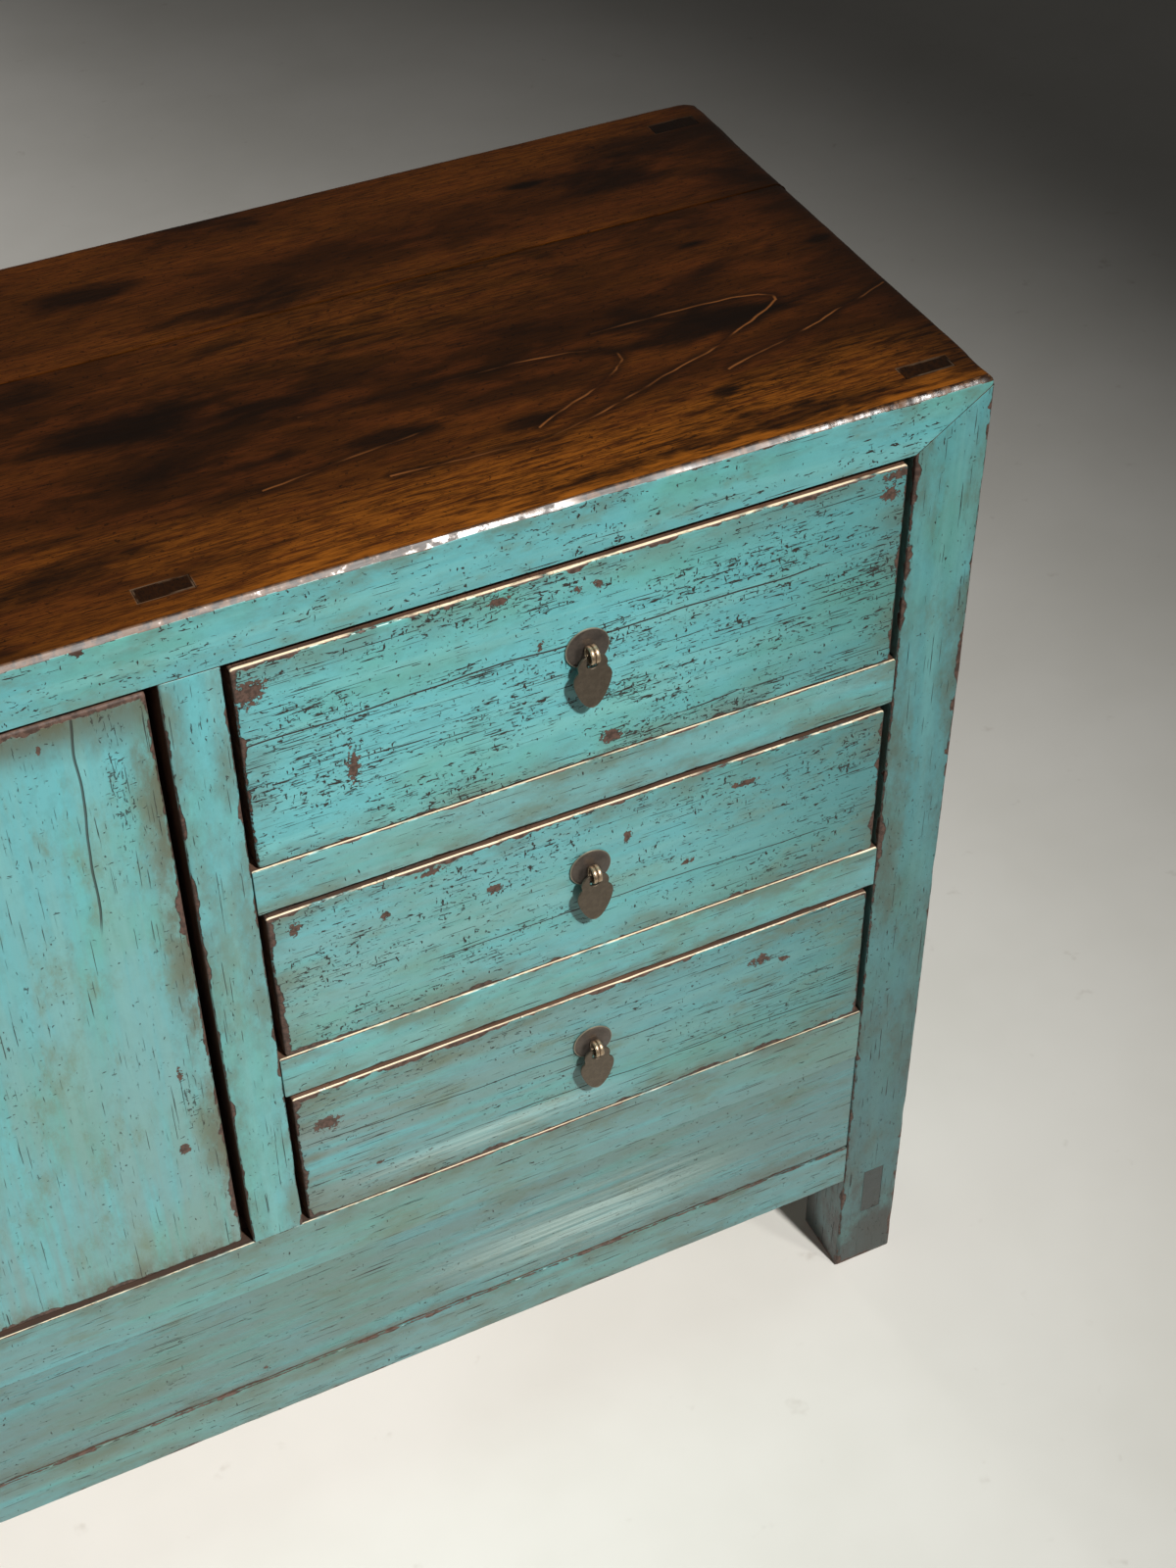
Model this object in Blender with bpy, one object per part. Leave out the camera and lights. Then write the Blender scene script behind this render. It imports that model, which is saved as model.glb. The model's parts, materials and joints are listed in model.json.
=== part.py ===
"""A lacquered sideboard: a pair of plank doors between two banks of three drawers.

Metres, +Z up. The origin is on the floor in the middle of the outer box. The length runs along X,
the front faces -Y, and pieces named right are at +X.
"""
import math

import bmesh
import bpy
from mathutils import Matrix, Vector
from mathutils.geometry import interpolate_bezier

# Overall sizes of the case
LENGTH = 1.800
DEPTH = 0.385
HEIGHT = 0.860

# Gaps between pieces
FIT_GAP = 0.0003                # faces that meet
MITRE_GAP = 0.0004              # upright gap along the mitre between a front leg and the top
PIVOT_GAP = 0.0004              # round a door pin in its socket
DRAWER_SIDE_GAP = 0.0045        # each side of a drawer front
DRAWER_TOP_GAP = 0.0055         # over a drawer front
DRAWER_FOOT_GAP = 0.001         # under a drawer front
DRAWER_BACK_GAP = 0.008         # between a tray and the back panel
DOOR_PIVOT_SIDE_GAP = 0.0065    # between a door and its stile
DOOR_MEETING_GAP = 0.003        # between the two doors
DOOR_TOP_GAP = 0.004
DOOR_FOOT_GAP = 0.004

# Heights, from the floor up
FOOT_HEIGHT = 0.113             # floor to the bottom rails
BOTTOM_RAIL_HEIGHT = 0.044
FRONT_PANEL_HEIGHT = 0.110
LOWER_RAIL_HEIGHT = 0.051
BOTTOM_DRAWER_OPENING = 0.134
MIDDLE_DRAWER_OPENING = 0.133
DRAWER_RAIL_HEIGHT = 0.037
TOP_THICKNESS = 0.041           # the top drawer's opening takes the height that is left

# Widths along the front, with what is left in the middle for the doors
LEG_WIDTH = 0.051
DRAWER_OPENING_WIDTH = 0.439
STILE_WIDTH = 0.036

# Depths, from the front back
FRONT_PLANK_WIDTH = 0.256       # the rear plank takes the depth that is left
LEG_DEPTH = 0.052
RAIL_DEPTH = 0.044
DRAWER_INSET = 0.0005           # drawer face behind the leg face
DOOR_INSET = 0.002              # door face behind the leg face
PANEL_INSET = 0.001             # front panel behind the leg face

# Board thicknesses
FRONT_PANEL_THICKNESS = 0.018
SIDE_PANEL_THICKNESS = 0.014
SIDE_PANEL_INSET = 0.010        # side panel behind the leg's outer face
BACK_PANEL_THICKNESS = 0.012
BACK_PANEL_INSET = 0.010
BOTTOM_BOARD_THICKNESS = 0.015
PARTITION_THICKNESS = 0.016
DRAWER_FRONT_THICKNESS = 0.020
TRAY_SIDE_THICKNESS = 0.011
TRAY_BACK_THICKNESS = 0.011
TRAY_FLOOR_THICKNESS = 0.008
DOOR_THICKNESS = 0.022

# Joinery
TENON_THICKNESS = 0.012
TENON_LENGTH = 0.018
TENON_SETBACK = 0.016           # rail tenon behind the front face
TENON_SHOULDER = 0.006          # above and below a rail tenon
TENON_ROOT = 0.010              # how far a tenon is carried into its own piece
CUT_PAST = 0.002                # how far a cut runs past a face
TOP_TENON_THICKNESS = 0.012
TOP_TENON_SETBACK = 0.021       # tenon through the top, behind the front face
LEG_TENON_INSET = 0.016         # that tenon from the leg's outer face
LEG_TENON_WIDTH = 0.033
STILE_TENON_INSET = 0.002
STILE_FOOT_INSET = 0.007
MITRE_DEPTH = 0.014             # how far back the leg's mitred face reaches
MITRE_DROP = 0.005              # mitre's outer end below the top
GROOVE_SETBACK = 0.007          # front panel groove behind the front face
GROOVE_WIDTH = 0.006
TONGUE_LENGTH = 0.006
PLANK_TONGUE_THICKNESS = 0.012
PLANK_TONGUE_LENGTH = 0.008
TOP_EASE = 0.004                # rounding of the top's front and rear edge
SIDE_RAIL_DROP = 0.057          # side rail's underside below the bottom rails
SIDE_RAIL_HEIGHT = 0.072
SIDE_RAIL_THICKNESS = 0.030
SIDE_RAIL_INSET = 0.008
SIDE_TENON_INSET = 0.015        # through tenon from the leg's outer face
SIDE_TENON_THICKNESS = 0.017
SIDE_TENON_RISE = 0.007         # through tenon above the rail's underside
SIDE_TENON_HEIGHT = 0.052

# Drawers and their runners
RUNNER_HEIGHT = 0.022
RUNNER_REACH = 0.024            # runner under the tray, past the side of the opening
RUNNER_END_GAP = 0.001
LADDER_POST_DEPTH = 0.024
LADDER_SET_IN = 0.001
TRAY_SIDE_GAP = 0.011           # tray from the side of its opening
TRAY_DROP = 0.012               # tray below the top of the drawer front
TRAY_LAP = 0.008                # how far the tray is let into the front
FRONT_EASE = 0.0015             # rounding round a drawer front and a door

# Doors
PIN_RADIUS = 0.007
PIN_LENGTH = 0.012              # pin inside its socket
PIN_INSET = 0.014               # pin from the door's outer edge
PIN_SIDES = 16
BATTEN_HEIGHT = 0.034           # at the door's back face
BATTEN_FLARE = 0.002            # dovetail, each side
BATTEN_SINK = 0.006
BATTEN_PROUD = 0.012
BATTEN_END_GAP = 0.006
BATTEN_PIN_GAP = 0.025
BATTEN_FROM_END = 0.085         # batten's middle from the door's end

# Pulls
PULL_RISE = 0.012               # plate above the middle of its drawer opening or door
DOOR_PULL_INSET = 0.042         # plate from the door's free edge
PLATE_RADIUS = 0.0145
PLATE_RIM = 0.0012
PLATE_RISE = 0.0030
PLATE_SIDES = 24
PLATE_RINGS = 4
LOOP_REACH = 0.0080             # loop's middle in front of the drawer face
LOOP_RADIUS = 0.0060
LOOP_WALL = 0.0018
LOOP_WIDTH = 0.0060
LOOP_SIDES = 16
SHANK_RADIUS = 0.0022
SHANK_SIDES = 8
SHANK_CLINCH = 0.0015           # shank past the inside of the board
LEAF_THICKNESS = 0.0016
LEAF_HANG = 0.0022              # hanging axis below the loop's middle
LEAF_EYE_RADIUS = 0.0040        # the eye is flat above and round below
LEAF_EYE_TOP = 0.0017           # eye below the hanging axis
LEAF_EYE_STRAIGHT = 0.0023      # height of the eye's straight sides
LEAF_EYE_STEPS = 8
LEAF_CURVE_STEPS = 5
# Right half of the leaf round its hanging axis: across, up. Four points to each curve.
LEAF_CURVES = (
    ((0.0, 0.0020), (0.0048, 0.0020), (0.0086, 0.0006), (0.0096, -0.0042)),
    ((0.0096, -0.0042), (0.0101, -0.0066), (0.0088, -0.0082), (0.0096, -0.0098)),
    ((0.0096, -0.0098), (0.0126, -0.0118), (0.0132, -0.0155), (0.0122, -0.0200)),
    ((0.0122, -0.0200), (0.0104, -0.0275), (0.0060, -0.0380), (0.0, -0.0390)),
)

SMOOTH_ANGLE = math.radians(38)

# Colour, roughness and metallic value of each finish
FINISHES = {
    "lacquer": ((0.115, 0.395, 0.375, 1.0), 0.38, 0.0),
    "stained_wood": ((0.040, 0.016, 0.007, 1.0), 0.26, 0.0),
    "plain_wood": ((0.260, 0.150, 0.075, 1.0), 0.70, 0.0),
    "dark_brass": ((0.090, 0.072, 0.058, 1.0), 0.42, 1.0),
}

# Levels and edges that follow from the sizes above
HALF_LENGTH = LENGTH / 2
LEG_INNER = HALF_LENGTH - LEG_WIDTH
STILE_OUTER = LEG_INNER - DRAWER_OPENING_WIDTH
STILE_INNER = STILE_OUTER - STILE_WIDTH
PULL_REACH = LOOP_REACH + LOOP_RADIUS - DRAWER_INSET
FRONT_Y = (PULL_REACH - DEPTH) / 2
BACK_Y = FRONT_Y + DEPTH
SEAM_Y = FRONT_Y + FRONT_PLANK_WIDTH
BOTTOM_RAIL_Z = (FOOT_HEIGHT, FOOT_HEIGHT + BOTTOM_RAIL_HEIGHT)
PANEL_Z = (BOTTOM_RAIL_Z[1], BOTTOM_RAIL_Z[1] + FRONT_PANEL_HEIGHT)
LOWER_RAIL_Z = (PANEL_Z[1], PANEL_Z[1] + LOWER_RAIL_HEIGHT)
BOTTOM_Z = (LOWER_RAIL_Z[1], LOWER_RAIL_Z[1] + BOTTOM_DRAWER_OPENING)
MIDDLE_LOW = BOTTOM_Z[1] + DRAWER_RAIL_HEIGHT
MIDDLE_Z = (MIDDLE_LOW, MIDDLE_LOW + MIDDLE_DRAWER_OPENING)
UNDERSIDE = HEIGHT - TOP_THICKNESS
TOP_Z = (MIDDLE_Z[1] + DRAWER_RAIL_HEIGHT, UNDERSIDE)
OPENINGS = {"bottom": BOTTOM_Z, "middle": MIDDLE_Z, "top": TOP_Z}
DRAWER_RAILS = {"lower": (BOTTOM_Z[1], MIDDLE_Z[0]), "upper": (MIDDLE_Z[1], TOP_Z[0])}
SIDE_RAIL_LOW = FOOT_HEIGHT - SIDE_RAIL_DROP
SIDE_RAIL_Z = (SIDE_RAIL_LOW, SIDE_RAIL_LOW + SIDE_RAIL_HEIGHT)
SIDE_PANEL_OUTER = HALF_LENGTH - SIDE_PANEL_INSET
SIDE_PANEL_INNER = SIDE_PANEL_OUTER - SIDE_PANEL_THICKNESS
BACK_PANEL_Y = (BACK_Y - BACK_PANEL_INSET - BACK_PANEL_THICKNESS, BACK_Y - BACK_PANEL_INSET)
BOARD_TOP = BOTTOM_RAIL_Z[1] + FIT_GAP + BOTTOM_BOARD_THICKNESS
DOOR_INNER = DOOR_MEETING_GAP / 2
DOOR_OUTER = STILE_INNER - DOOR_PIVOT_SIDE_GAP
DOOR_Y = (FRONT_Y + DOOR_INSET, FRONT_Y + DOOR_INSET + DOOR_THICKNESS)
DOOR_Z = (LOWER_RAIL_Z[1] + DOOR_FOOT_GAP, UNDERSIDE - DOOR_TOP_GAP)
PIN_X = DOOR_OUTER - PIN_INSET
PIN_Y = (DOOR_Y[0] + DOOR_Y[1]) / 2
SIDES = {"left": -1, "right": 1}


def middle(pair):
    return (pair[0] + pair[1]) / 2


def widen(pair, amount):
    """A low and high pair grown at both ends, or drawn in where the amount is negative."""
    return pair[0] - amount, pair[1] + amount


def across(side, near, far):
    """Low and high X of a stretch given by its two distances from the middle."""
    return tuple(sorted((side * near, side * far)))


def behind(start, end):
    """Low and high Y of a stretch given by its distances behind the front face."""
    return FRONT_Y + start, FRONT_Y + end


def prism(axis, outline, low, high):
    """A flat outline drawn across an axis and carried along it."""
    return axis, outline, low, high


def block(x, y, z):
    outline = [(x[0], y[0]), (x[1], y[0]), (x[1], y[1]), (x[0], y[1])]
    return prism("Z", outline, z[0], z[1])


def rod(axis, centre, radius, sides, low, high):
    outline = []
    for index in range(sides):
        turn = 2 * math.pi * index / sides
        outline.append((centre[0] + radius * math.cos(turn), centre[1] + radius * math.sin(turn)))
    return prism(axis, outline, low, high)


def spot(axis, a, b, along):
    """The point of a prism at (a, b) on its outline and at a place along its axis."""
    points = {"X": (along, a, b), "Y": (a, along, b), "Z": (a, b, along)}
    return points[axis]


def shell(shapes):
    """A mesh that holds each given prism as a closed shell of its own."""
    builder = bmesh.new()
    for axis, outline, low, high in shapes:
        near = [builder.verts.new(spot(axis, a, b, low)) for a, b in outline]
        far = [builder.verts.new(spot(axis, a, b, high)) for a, b in outline]
        builder.faces.new(near)
        builder.faces.new(far)
        for index in range(len(outline)):
            after = (index + 1) % len(outline)
            builder.faces.new((near[index], near[after], far[after], far[index]))
    bmesh.ops.recalc_face_normals(builder, faces=builder.faces)
    mesh = bpy.data.meshes.new("shape")
    builder.to_mesh(mesh)
    builder.free()
    return mesh


def turned_plate(x, face_y, z):
    """The domed plate's mesh: a flat back on the board, a thin rim and a low dome."""
    profile = [(PLATE_RADIUS, FIT_GAP), (PLATE_RADIUS, FIT_GAP + PLATE_RIM)]
    for ring in range(1, PLATE_RINGS):
        lean = math.pi / 2 * ring / PLATE_RINGS
        rise = PLATE_RIM + (PLATE_RISE - PLATE_RIM) * math.sin(lean)
        profile.append((PLATE_RADIUS * math.cos(lean), FIT_GAP + rise))
    builder = bmesh.new()
    rings = []
    for radius, out in profile:
        ring = []
        for index in range(PLATE_SIDES):
            turn = 2 * math.pi * index / PLATE_SIDES
            point = (x + radius * math.cos(turn), face_y - out, z + radius * math.sin(turn))
            ring.append(builder.verts.new(point))
        rings.append(ring)
    for lower, upper in zip(rings, rings[1:]):
        for index in range(PLATE_SIDES):
            after = (index + 1) % PLATE_SIDES
            builder.faces.new((lower[index], lower[after], upper[after], upper[index]))
    builder.faces.new(rings[0])
    crown = builder.verts.new((x, face_y - FIT_GAP - PLATE_RISE, z))
    for index in range(PLATE_SIDES):
        builder.faces.new((rings[-1][index], rings[-1][(index + 1) % PLATE_SIDES], crown))
    bmesh.ops.recalc_face_normals(builder, faces=builder.faces)
    mesh = bpy.data.meshes.new("plate")
    builder.to_mesh(mesh)
    builder.free()
    return mesh


def ease_front(mesh, face_y, radius):
    """Round the edges that lie in a board's front face."""
    builder = bmesh.new()
    builder.from_mesh(mesh)
    nearly = FIT_GAP / 10
    edges = []
    for edge in builder.edges:
        if all(abs(vert.co.y - face_y) < nearly for vert in edge.verts):
            edges.append(edge)
    bmesh.ops.bevel(builder, geom=edges, offset=radius, segments=2, affect="EDGES")
    builder.to_mesh(mesh)
    builder.free()


def combine(piece, operation, shapes):
    """Join shapes to a piece or cut them out of it, and keep the result as its mesh."""
    tool = bpy.data.objects.new("tool", shell(shapes))
    bpy.context.collection.objects.link(tool)
    step = piece.modifiers.new("joinery", "BOOLEAN")
    step.operation = operation
    step.solver = "EXACT"
    step.object = tool
    shaped = piece.evaluated_get(bpy.context.evaluated_depsgraph_get())
    result = bpy.data.meshes.new_from_object(shaped)
    piece.modifiers.clear()
    before = piece.data
    piece.data = result
    bpy.data.meshes.remove(before)
    tool_mesh = tool.data
    bpy.data.objects.remove(tool)
    bpy.data.meshes.remove(tool_mesh)


def finish_material(name, finish):
    colour, roughness, metallic = FINISHES[finish]
    material = bpy.data.materials.new(name)
    material.use_nodes = True
    shader = material.node_tree.nodes["Principled BSDF"]
    shader.inputs["Base Color"].default_value = colour
    shader.inputs["Roughness"].default_value = roughness
    shader.inputs["Metallic"].default_value = metallic
    material.diffuse_color = colour
    return material


def make_piece(name, finish, holder, mesh, joins=(), cuts=(), origin=None):
    """One named piece. Each group in joins is added in turn, then all the cuts are taken out."""
    piece = bpy.data.objects.new(name, mesh)
    bpy.context.collection.objects.link(piece)
    for group in joins:
        combine(piece, "UNION", group)
    if cuts:
        combine(piece, "DIFFERENCE", cuts)
    place = Vector(holder.location if origin is None else origin)
    piece.data.transform(Matrix.Translation(-place))
    piece.data.name = name
    piece.data.materials.clear()
    piece.data.materials.append(finish_material(name, finish))
    piece.parent = holder
    piece.location = place - Vector(holder.location)
    piece.data.shade_smooth()
    piece.data.set_sharp_from_angle(angle=SMOOTH_ANGLE)
    return piece


def make_holder(name, point, holder=None):
    """An empty on the axis that a group of pieces moves on."""
    empty = bpy.data.objects.new(name, None)
    bpy.context.collection.objects.link(empty)
    empty.location = point
    if holder is not None:
        empty.parent = holder
    return empty


def rail_tenon(side, face, z, y):
    """Tenon on the end of a rail that stops at the face of a leg or stile."""
    tip = face + TENON_LENGTH - FIT_GAP
    return block(across(side, face - TENON_ROOT, tip), y, widen(z, -TENON_SHOULDER))


def stile_end_tenon(side, face, z, y):
    """Tenon on the end of a drawer rail that enters the stile."""
    tip = face - TENON_LENGTH + FIT_GAP
    return block(across(side, tip, face + TENON_ROOT), y, widen(z, -TENON_SHOULDER))


def rail_mortise(side, near, far, z, y):
    hole = widen(z, FIT_GAP - TENON_SHOULDER)
    return block(across(side, near, far), widen(y, FIT_GAP), hole)


FRONT_TENON_Y = behind(TENON_SETBACK, TENON_SETBACK + TENON_THICKNESS)
BACK_TENON_Y = (BACK_Y - TENON_SETBACK - TENON_THICKNESS, BACK_Y - TENON_SETBACK)
TOP_TENON_FRONT = behind(TOP_TENON_SETBACK, TOP_TENON_SETBACK + TOP_TENON_THICKNESS)
TOP_TENON_BACK = (
    BACK_Y - TOP_TENON_SETBACK - TOP_TENON_THICKNESS,
    BACK_Y - TOP_TENON_SETBACK,
)
LEG_TENON = (HALF_LENGTH - LEG_TENON_INSET - LEG_TENON_WIDTH, HALF_LENGTH - LEG_TENON_INSET)
STILE_TENON = widen((STILE_INNER, STILE_OUTER), -STILE_TENON_INSET)
STILE_FOOT = widen((STILE_INNER, STILE_OUTER), -STILE_FOOT_INSET)
GROOVE_Y = behind(GROOVE_SETBACK, GROOVE_SETBACK + GROOVE_WIDTH)
SIDE_TENON_OUTER = HALF_LENGTH - SIDE_TENON_INSET
SIDE_TENON_Z = (SIDE_RAIL_LOW + SIDE_TENON_RISE, SIDE_RAIL_LOW + SIDE_TENON_RISE + SIDE_TENON_HEIGHT)
MITRE_SLOPE = (TOP_THICKNESS - MITRE_DROP) / LEG_WIDTH


def side_panel_groove(side, y, z):
    return block(widen(across(side, SIDE_PANEL_INNER, SIDE_PANEL_OUTER), FIT_GAP), y, z)


def side_mortise(side, y):
    """Slot right through a leg for the tenon of its side rail."""
    x = across(side, SIDE_TENON_OUTER - SIDE_TENON_THICKNESS, SIDE_TENON_OUTER)
    return block(widen(x, FIT_GAP), y, widen(SIDE_TENON_Z, FIT_GAP))


def make_front_leg(word, side, holder):
    y = behind(0, LEG_DEPTH)
    outline = [
        (side * LEG_INNER, 0),
        (side * HALF_LENGTH, 0),
        (side * HALF_LENGTH, HEIGHT - MITRE_DROP),
        (side * LEG_INNER, UNDERSIDE),
    ]
    leg = prism("Y", outline, y[0], y[1])
    beyond = across(side, LEG_INNER - CUT_PAST, HALF_LENGTH + CUT_PAST)
    shoulder = block(
        beyond,
        (y[0] + MITRE_DEPTH, y[1] + CUT_PAST),
        (UNDERSIDE - FIT_GAP, HEIGHT),
    )
    cuts = [side_mortise(side, widen(y, CUT_PAST))]
    deep = LEG_INNER + TENON_LENGTH
    for z in (BOTTOM_RAIL_Z, LOWER_RAIL_Z, *DRAWER_RAILS.values()):
        cuts.append(rail_mortise(side, LEG_INNER - CUT_PAST, deep, z, FRONT_TENON_Y))
    groove_z = (-CUT_PAST, PANEL_Z[1] + TONGUE_LENGTH)
    groove_x = across(side, LEG_INNER - CUT_PAST, LEG_INNER + TONGUE_LENGTH)
    cuts.append(block(groove_x, GROOVE_Y, groove_z))
    panel_z = (SIDE_RAIL_Z[1] - TONGUE_LENGTH, UNDERSIDE + CUT_PAST)
    cuts.append(side_panel_groove(side, (y[1] - TONGUE_LENGTH, y[1] + CUT_PAST), panel_z))
    piece = make_piece(f"leg_front_{word}", "lacquer", holder, shell([leg]), cuts=[shoulder])
    tenon = block(across(side, *LEG_TENON), TOP_TENON_FRONT, (UNDERSIDE - TENON_ROOT, HEIGHT))
    combine(piece, "UNION", [tenon])
    combine(piece, "DIFFERENCE", cuts)


def make_back_leg(word, side, holder):
    y = (BACK_Y - LEG_DEPTH, BACK_Y)
    leg = block(across(side, LEG_INNER, HALF_LENGTH), y, (0, UNDERSIDE - FIT_GAP))
    tenon = block(across(side, *LEG_TENON), TOP_TENON_BACK, (UNDERSIDE - TENON_ROOT, HEIGHT))
    deep = LEG_INNER + TENON_LENGTH
    panel_z = (SIDE_RAIL_Z[1] - TONGUE_LENGTH, UNDERSIDE + CUT_PAST)
    back_z = (BOTTOM_RAIL_Z[1] - TONGUE_LENGTH, UNDERSIDE + CUT_PAST)
    back_x = across(side, LEG_INNER - CUT_PAST, LEG_INNER + TONGUE_LENGTH)
    cuts = [
        side_mortise(side, widen(y, CUT_PAST)),
        rail_mortise(side, LEG_INNER - CUT_PAST, deep, BOTTOM_RAIL_Z, BACK_TENON_Y),
        side_panel_groove(side, (y[0] - CUT_PAST, y[0] + TONGUE_LENGTH), panel_z),
    ]
    piece = make_piece(f"leg_back_{word}", "lacquer", holder, shell([leg]), [[tenon]], cuts)
    combine(piece, "DIFFERENCE", [block(back_x, widen(BACK_PANEL_Y, FIT_GAP), back_z)])


def make_top_front(holder):
    """The wide front plank, with its groove, its mitred front ends and its mortises."""
    tongue = middle((UNDERSIDE, HEIGHT))
    groove = widen((tongue, tongue), PLANK_TONGUE_THICKNESS / 2 + FIT_GAP)
    rear = SEAM_Y - FIT_GAP
    outline = [
        (FRONT_Y, UNDERSIDE),
        (rear, UNDERSIDE),
        (rear, groove[0]),
        (rear - PLANK_TONGUE_LENGTH, groove[0]),
        (rear - PLANK_TONGUE_LENGTH, groove[1]),
        (rear, groove[1]),
        (rear, HEIGHT),
    ]
    outline += eased_corner(FRONT_Y + TOP_EASE, -1)
    cuts = []
    for side in SIDES.values():
        start = LEG_INNER - (CUT_PAST + MITRE_GAP) / MITRE_SLOPE
        end = HALF_LENGTH + CUT_PAST
        rise = MITRE_GAP + MITRE_SLOPE * (end - LEG_INNER)
        mitre = [
            (side * start, UNDERSIDE - CUT_PAST),
            (side * end, UNDERSIDE - CUT_PAST),
            (side * end, UNDERSIDE + rise),
        ]
        cuts.append(prism("Y", mitre, FRONT_Y - CUT_PAST, FRONT_Y + MITRE_DEPTH + FIT_GAP))
        for stretch in (LEG_TENON, STILE_TENON):
            cuts.append(top_mortise(side, stretch, TOP_TENON_FRONT))
        socket = (UNDERSIDE - CUT_PAST, UNDERSIDE + PIN_LENGTH + PIVOT_GAP)
        cuts.append(pin_rod(side, PIN_RADIUS + PIVOT_GAP, socket))
    mesh = shell([prism("X", outline, -HALF_LENGTH, HALF_LENGTH)])
    make_piece("top_front_plank", "stained_wood", holder, mesh, cuts=cuts)


def eased_corner(centre_y, facing):
    """Points of the rounding at the top of a plank's edge, from the flat top downwards."""
    points = []
    for step in range(4):
        turn = math.pi / 2 * step / 3
        out = facing * TOP_EASE * math.sin(turn)
        points.append((centre_y + out, HEIGHT - TOP_EASE + TOP_EASE * math.cos(turn)))
    return points


def top_mortise(side, stretch, y):
    x = widen(across(side, *stretch), FIT_GAP)
    return block(x, widen(y, FIT_GAP), (UNDERSIDE - CUT_PAST, HEIGHT + CUT_PAST))


def pin_rod(side, radius, z):
    return rod("Z", (side * PIN_X, PIN_Y), radius, PIN_SIDES, z[0], z[1])


def make_top_rear(holder):
    tongue = middle((UNDERSIDE, HEIGHT))
    low, high = widen((tongue, tongue), PLANK_TONGUE_THICKNESS / 2)
    tip = SEAM_Y - PLANK_TONGUE_LENGTH
    corner = eased_corner(BACK_Y - TOP_EASE, 1)
    outline = [(BACK_Y, UNDERSIDE)]
    outline += reversed(corner)
    outline += [
        (SEAM_Y, HEIGHT),
        (SEAM_Y, high),
        (tip, high),
        (tip, low),
        (SEAM_Y, low),
        (SEAM_Y, UNDERSIDE),
    ]
    cuts = [top_mortise(side, LEG_TENON, TOP_TENON_BACK) for side in SIDES.values()]
    mesh = shell([prism("X", outline, -HALF_LENGTH, HALF_LENGTH)])
    make_piece("top_rear_plank", "stained_wood", holder, mesh, cuts=cuts)


def make_stile(word, side, holder):
    z = (LOWER_RAIL_Z[1] + FIT_GAP, UNDERSIDE - FIT_GAP)
    body = block(across(side, STILE_INNER, STILE_OUTER), behind(0, RAIL_DEPTH), z)
    head = block(across(side, *STILE_TENON), TOP_TENON_FRONT, (z[1] - TENON_ROOT, HEIGHT))
    foot_z = (LOWER_RAIL_Z[1] - TENON_LENGTH + FIT_GAP, z[0] + TENON_ROOT)
    foot = block(across(side, *STILE_FOOT), FRONT_TENON_Y, foot_z)
    cuts = []
    for rail_z in DRAWER_RAILS.values():
        near = STILE_OUTER - TENON_LENGTH
        cuts.append(rail_mortise(side, near, STILE_OUTER + CUT_PAST, rail_z, FRONT_TENON_Y))
    make_piece(f"stile_{word}", "lacquer", holder, shell([body]), [[head, foot]], cuts)


def make_drawer_rails(word, side, holder):
    for level, z in DRAWER_RAILS.items():
        x = across(side, STILE_OUTER + FIT_GAP, LEG_INNER - FIT_GAP)
        body = block(x, behind(0, RAIL_DEPTH), z)
        ends = [
            stile_end_tenon(side, STILE_OUTER, z, FRONT_TENON_Y),
            rail_tenon(side, LEG_INNER, z, FRONT_TENON_Y),
        ]
        make_piece(f"drawer_rail_{word}_{level}", "lacquer", holder, shell([body]), [ends])


def long_rail(z, y):
    """Body of a rail that runs from leg to leg."""
    return block((FIT_GAP - LEG_INNER, LEG_INNER - FIT_GAP), y, z)


def end_tenons(z, y):
    return [rail_tenon(side, LEG_INNER, z, y) for side in SIDES.values()]


def long_groove(y, z):
    return block((-LEG_INNER - CUT_PAST, LEG_INNER + CUT_PAST), y, z)


def make_front_rails(holder):
    cuts = [long_groove(GROOVE_Y, (LOWER_RAIL_Z[0] - CUT_PAST, LOWER_RAIL_Z[0] + TONGUE_LENGTH))]
    for side in SIDES.values():
        foot_x = widen(across(side, *STILE_FOOT), FIT_GAP)
        foot_z = (LOWER_RAIL_Z[1] - TENON_LENGTH, LOWER_RAIL_Z[1] + CUT_PAST)
        cuts.append(block(foot_x, widen(FRONT_TENON_Y, FIT_GAP), foot_z))
        socket = (LOWER_RAIL_Z[1] - PIN_LENGTH - PIVOT_GAP, LOWER_RAIL_Z[1] + CUT_PAST)
        cuts.append(pin_rod(side, PIN_RADIUS + PIVOT_GAP, socket))
    mesh = shell([long_rail(LOWER_RAIL_Z, behind(0, RAIL_DEPTH))])
    tenons = end_tenons(LOWER_RAIL_Z, FRONT_TENON_Y)
    make_piece("lower_front_rail", "lacquer", holder, mesh, [tenons], cuts)

    groove = long_groove(GROOVE_Y, (BOTTOM_RAIL_Z[1] - TONGUE_LENGTH, BOTTOM_RAIL_Z[1] + CUT_PAST))
    mesh = shell([long_rail(BOTTOM_RAIL_Z, behind(0, RAIL_DEPTH))])
    tenons = end_tenons(BOTTOM_RAIL_Z, FRONT_TENON_Y)
    make_piece("bottom_front_rail", "lacquer", holder, mesh, [tenons], [groove])

    y = behind(PANEL_INSET, PANEL_INSET + FRONT_PANEL_THICKNESS)
    mesh = shell([long_rail(widen(PANEL_Z, -FIT_GAP), y)])
    reach = LEG_INNER + TONGUE_LENGTH - FIT_GAP
    tongue_z = widen(PANEL_Z, TONGUE_LENGTH - FIT_GAP)
    tongue = block((-reach, reach), widen(GROOVE_Y, -FIT_GAP), tongue_z)
    make_piece("front_panel", "lacquer", holder, mesh, [[tongue]])


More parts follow.
